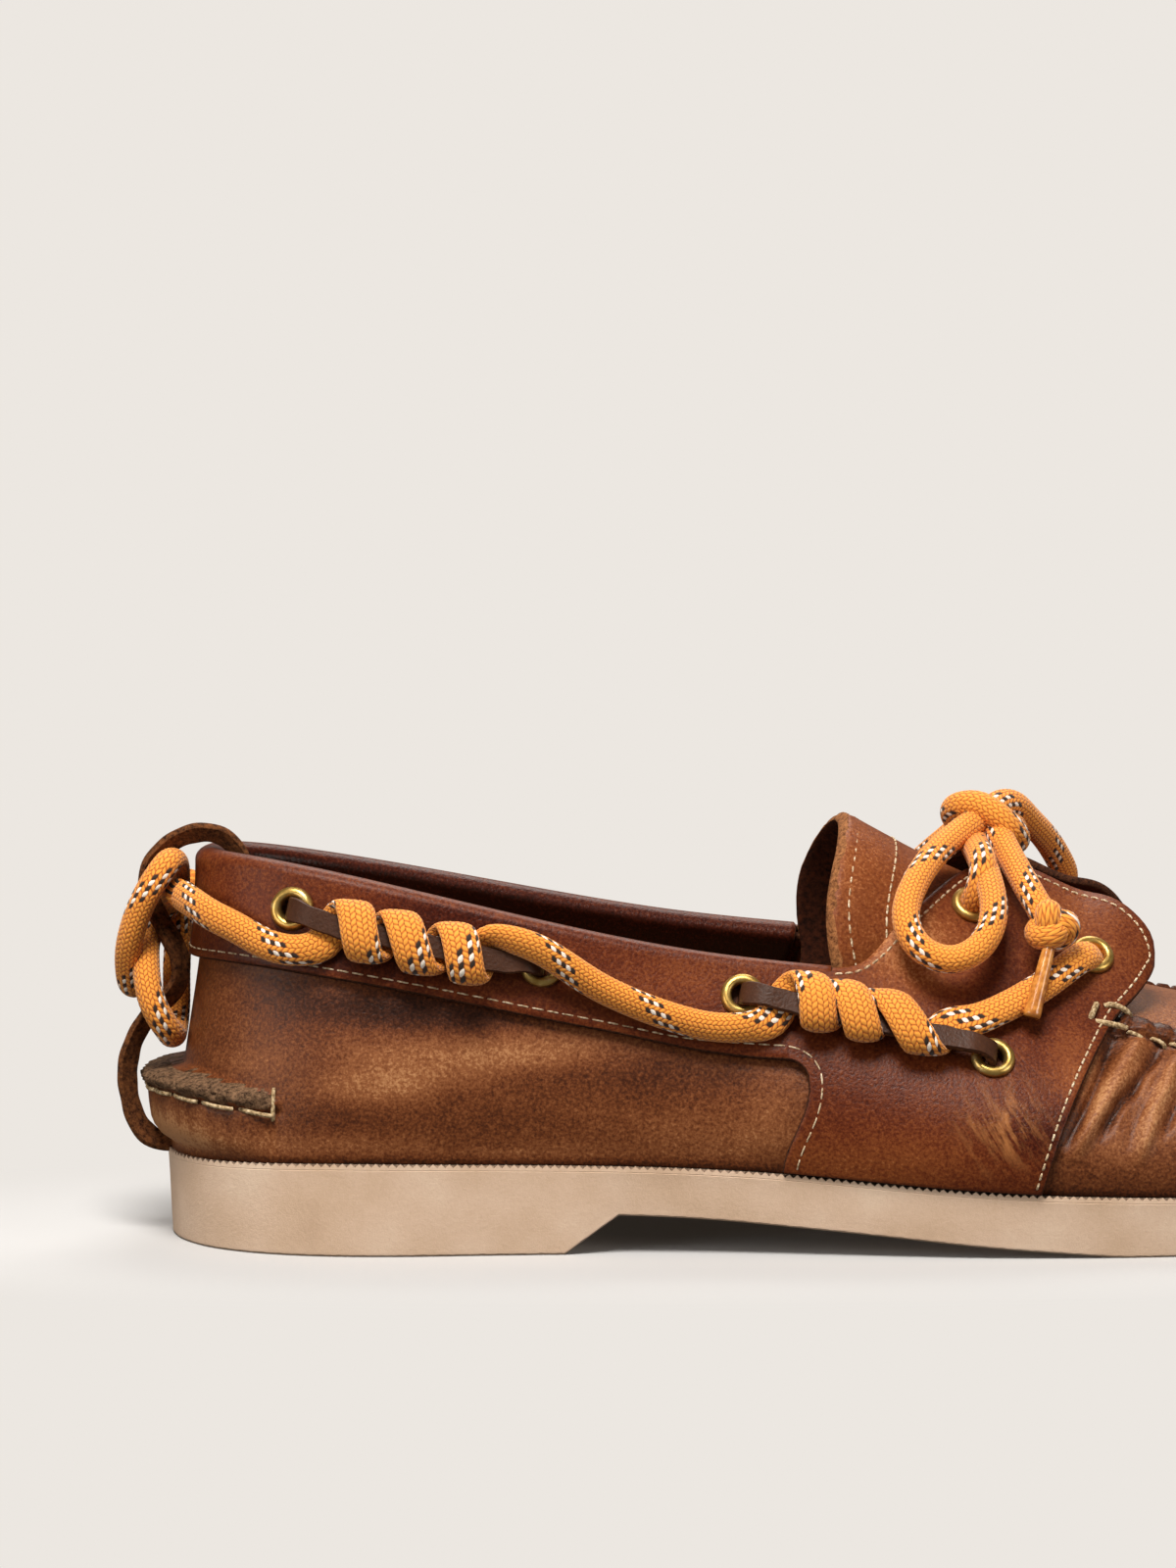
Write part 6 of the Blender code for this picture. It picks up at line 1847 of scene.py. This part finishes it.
# %% Moc seam stitches
MOC_STARTS, MOC_ENDS = 1.86, 1.80  # the rows where a moc stitch starts and ends
seam_half = np.arange(station_at(VAMP_SEAM_X + 6), 1, MOC_PITCH / SIDE_LONG)
for_moc = np.concatenate([seam_half, -seam_half])
half_stitch = 0.44 * MOC_PITCH / SIDE_LONG
start, end = (
    wall_grid(for_moc + way * half_stitch, np.full((len(for_moc), 1), row))[0][:, 0]
    for way, row in ((-1, MOC_STARTS), (1, MOC_ENDS))
)
moc_normals = wall_normals(for_moc, np.full((len(for_moc), 1), (MOC_STARTS + MOC_ENDS) / 2))[:, 0]
middles, steps = (start + end) / 2 + moc_normals * 0.75, end - start
sew("moc_stitches", middles, steps, moc_normals, np.linalg.norm(steps, axis=1), 0.48, 0.5)


# %% Single hand stitches
def joint_skin(*pieces):
    """The faces of finished pieces, in millimetres, to set stitches on."""
    points, faces = [], []
    for piece in pieces:
        found, first = np.empty(len(piece.data.vertices) * 3), sum(map(len, points))
        piece.data.vertices.foreach_get("co", found)
        points.append(found.reshape(-1, 3) / MM + (HEEL_CENTRE, 0, 0))
        faces += [[corner + first for corner in face.vertices] for face in piece.data.polygons]
    return BVHTree.FromPolygons(np.concatenate(points).tolist(), faces)


def sew_across(name, pairs, skin, radius, arch):
    """Single stitches between pairs of places, each given as x, y, z near the leather."""
    ends = np.array([[skin.find_nearest(Vector(place))[0] for place in pair] for pair in pairs])
    normals = np.array([[skin.find_nearest(Vector(end))[1] for end in pair] for pair in ends])
    outs = unit(normals.sum(axis=1))
    steps = ends[:, 1] - ends[:, 0]
    longs = np.linalg.norm(steps, axis=1) * 1.1
    sew(name, ends.mean(axis=1) + outs * radius, steps, outs, longs, radius, arch)


leathers = joint_skin(saddle, upper)
CROSSING = (  # the moc seam's first stitches, which go over the flap's corner
    ((187.3, -34, 46.8), (189, -33.5, 50.6)), ((191.2, -33, 50), (196.2, -31, 47.1)),
    ((187.6, -34.5, 46.1), (193.6, -35, 44.6)),
)
CUP_END = ((19.6, -31, 33.8), (20, -31.3, 28.6))  # the stitch that closes the heel cup's end
for way, word in SIDES:
    mirror = (1, way, 1)
    sew_across(f"crossing_stitches_{word}", np.array(CROSSING) * mirror, leathers, 0.66, 0.65)
    sew_across(f"cup_end_stitch_{word}", np.array([CUP_END]) * mirror, leathers, 0.45, 0.3)

# %% Heel stitches
heel_at = np.arange(HEEL_STITCH / 2, 36, HEEL_STITCH)
heel_at = np.concatenate([-heel_at[::-1], heel_at])
ends = []
for half in (-3.4, 3.4):
    at = heel_at + half
    lines = wall_lines(at / SIDE_LONG)
    lengths = along_lines(lines, np.ones((len(at), 1)))[1]
    up = 11.3 + np.interp(np.abs(at), *zip(*RIDGE_RISE))
    out = out_of(at / SIDE_LONG) * (CUP_SWELL * cup_share(at) * 0.83 + 0.2)[:, None]
    ends.append(along_lines(lines, (up / lengths)[:, None])[0][:, 0] + out)
outs = out_of(heel_at / SIDE_LONG)
middles, steps = (ends[0] + ends[1]) / 2 + outs * 0.35, ends[1] - ends[0]
sew("heel_stitches", middles, steps, outs, np.linalg.norm(steps, axis=1), 0.46, 0.5)

# %% [markdown]
# ## Studio
#
# The shoe stands on pale card that sweeps up into a wall all round, so no horizon shows. The card glows
# evenly, as an overlit backdrop does, and only the part of it under the shoe is plain matt card, which takes
# the shadow. The middle of that matt part is painted darker and bluer as well: a painted shadow under the
# arch. The glow isn't a light for the shoe: two softboxes from above and a weak sky are.

# %% Sweep
CARD_CENTRE, CARD_HALF = (0.112, 0), (0.172, 0.060)  # metres: the matt oval under the shoe
SWEEP = ((0, 0), (0.3, 0), (1, 0), (4, 0), (5.2, 0.25), (5.9, 0.9), (6.2, 1.8), (6.2, 4.5))


def seamless_card():
    """Matt pale card under the shoe, painted darker in its middle as a contact shadow, running out to an even
    glow.
    """
    material, add, shader, place = new_material("seamless_card", 0.9, 0.2)
    oval = add("Mapping", {
        "Vector": place, "Location": (*CARD_CENTRE, 0.0), "Scale": (*CARD_HALF, 1.0),
    }, vector_type="TEXTURE")
    far = add("VectorMath", {0: oval}, operation="LENGTH").outputs["Value"]
    share = add("MapRange", {
        "Value": far, "From Min": 0.95, "From Max": 1.7,
    }, interpolation_type="SMOOTHSTEP")
    # near is 0 in the middle of the oval, where the card is painted darker and bluer: a painted contact
    # shadow.
    near = add("MapRange", {"Value": far, "From Min": 0.4, "From Max": 0.62})
    stops = ((0.0, "#a6acb2"), (1.0, "#c1c1c2"))
    card = add("ValToRGB", {"Fac": near}, stops)
    set_inputs(shader, {"Base Color": card})
    glow = add("Emission", {"Color": colour("#ece7e1"), "Strength": 1.0})
    both = add("MixShader", {0: share, 1: shader, 2: glow})
    set_inputs(material.node_tree.nodes["Material Output"], {"Surface": both})
    return material


turns = np.arange(65) * 2 * math.pi / 64
sweep_radius, sweep_high = np.array(SWEEP).T
sweep_points = np.stack([
    np.outer(np.cos(turns), sweep_radius), np.outer(np.sin(turns), sweep_radius),
    np.tile(sweep_high, (65, 1)),
], axis=-1)
sweep_mesh = bpy.data.meshes.new("floor")
sweep_faces = without_repeats(grid_faces(65, len(SWEEP)).reshape(-1, 4))
sweep_mesh.from_pydata(sweep_points.reshape(-1, 3).tolist(), [], sweep_faces.tolist())
sweep_mesh.materials.append(seamless_card())
sweep = bpy.data.objects.new("floor", sweep_mesh)
scene.collection.objects.link(sweep)
sweep.visible_diffuse = sweep.visible_glossy = False
print("sweep", len(sweep_mesh.polygons), "faces")

# %% Lights
scene.world = bpy.data.worlds.new("studio")
scene.world.use_nodes = True
background = scene.world.node_tree.nodes["Background"]
background.inputs["Color"].default_value = colour("#f4f1ec")
background.inputs["Strength"].default_value = 0.18

SOFTBOXES = (  # name, place in metres, size, power in watts
    ("softbox_key", (-0.12, -0.6, 1.15), 0.5, 22.5),
    ("softbox_left", (-1.2, -0.8, 0.3), 0.7, 7.0),
    ("softbox_right", (1.3, -0.9, 0.3), 0.7, 7.0),
    ("softbox_behind", (0.2, 0.7, 0.95), 0.7, 8.0),
)
for name, place, size, watts in SOFTBOXES:
    light = bpy.data.lights.new(name, "AREA")
    light.size, light.energy = size, watts
    light.color = colour("#fffaf3")[:3]
    box = bpy.data.objects.new(name, light)
    box.location = place
    box.rotation_euler = (Vector(place) - Vector((0.08, 0, 0.04))).to_track_quat("Z", "Y").to_euler()
    scene.collection.objects.link(box)
scene.view_settings.view_transform = "Standard"
print("lights", len(SOFTBOXES))
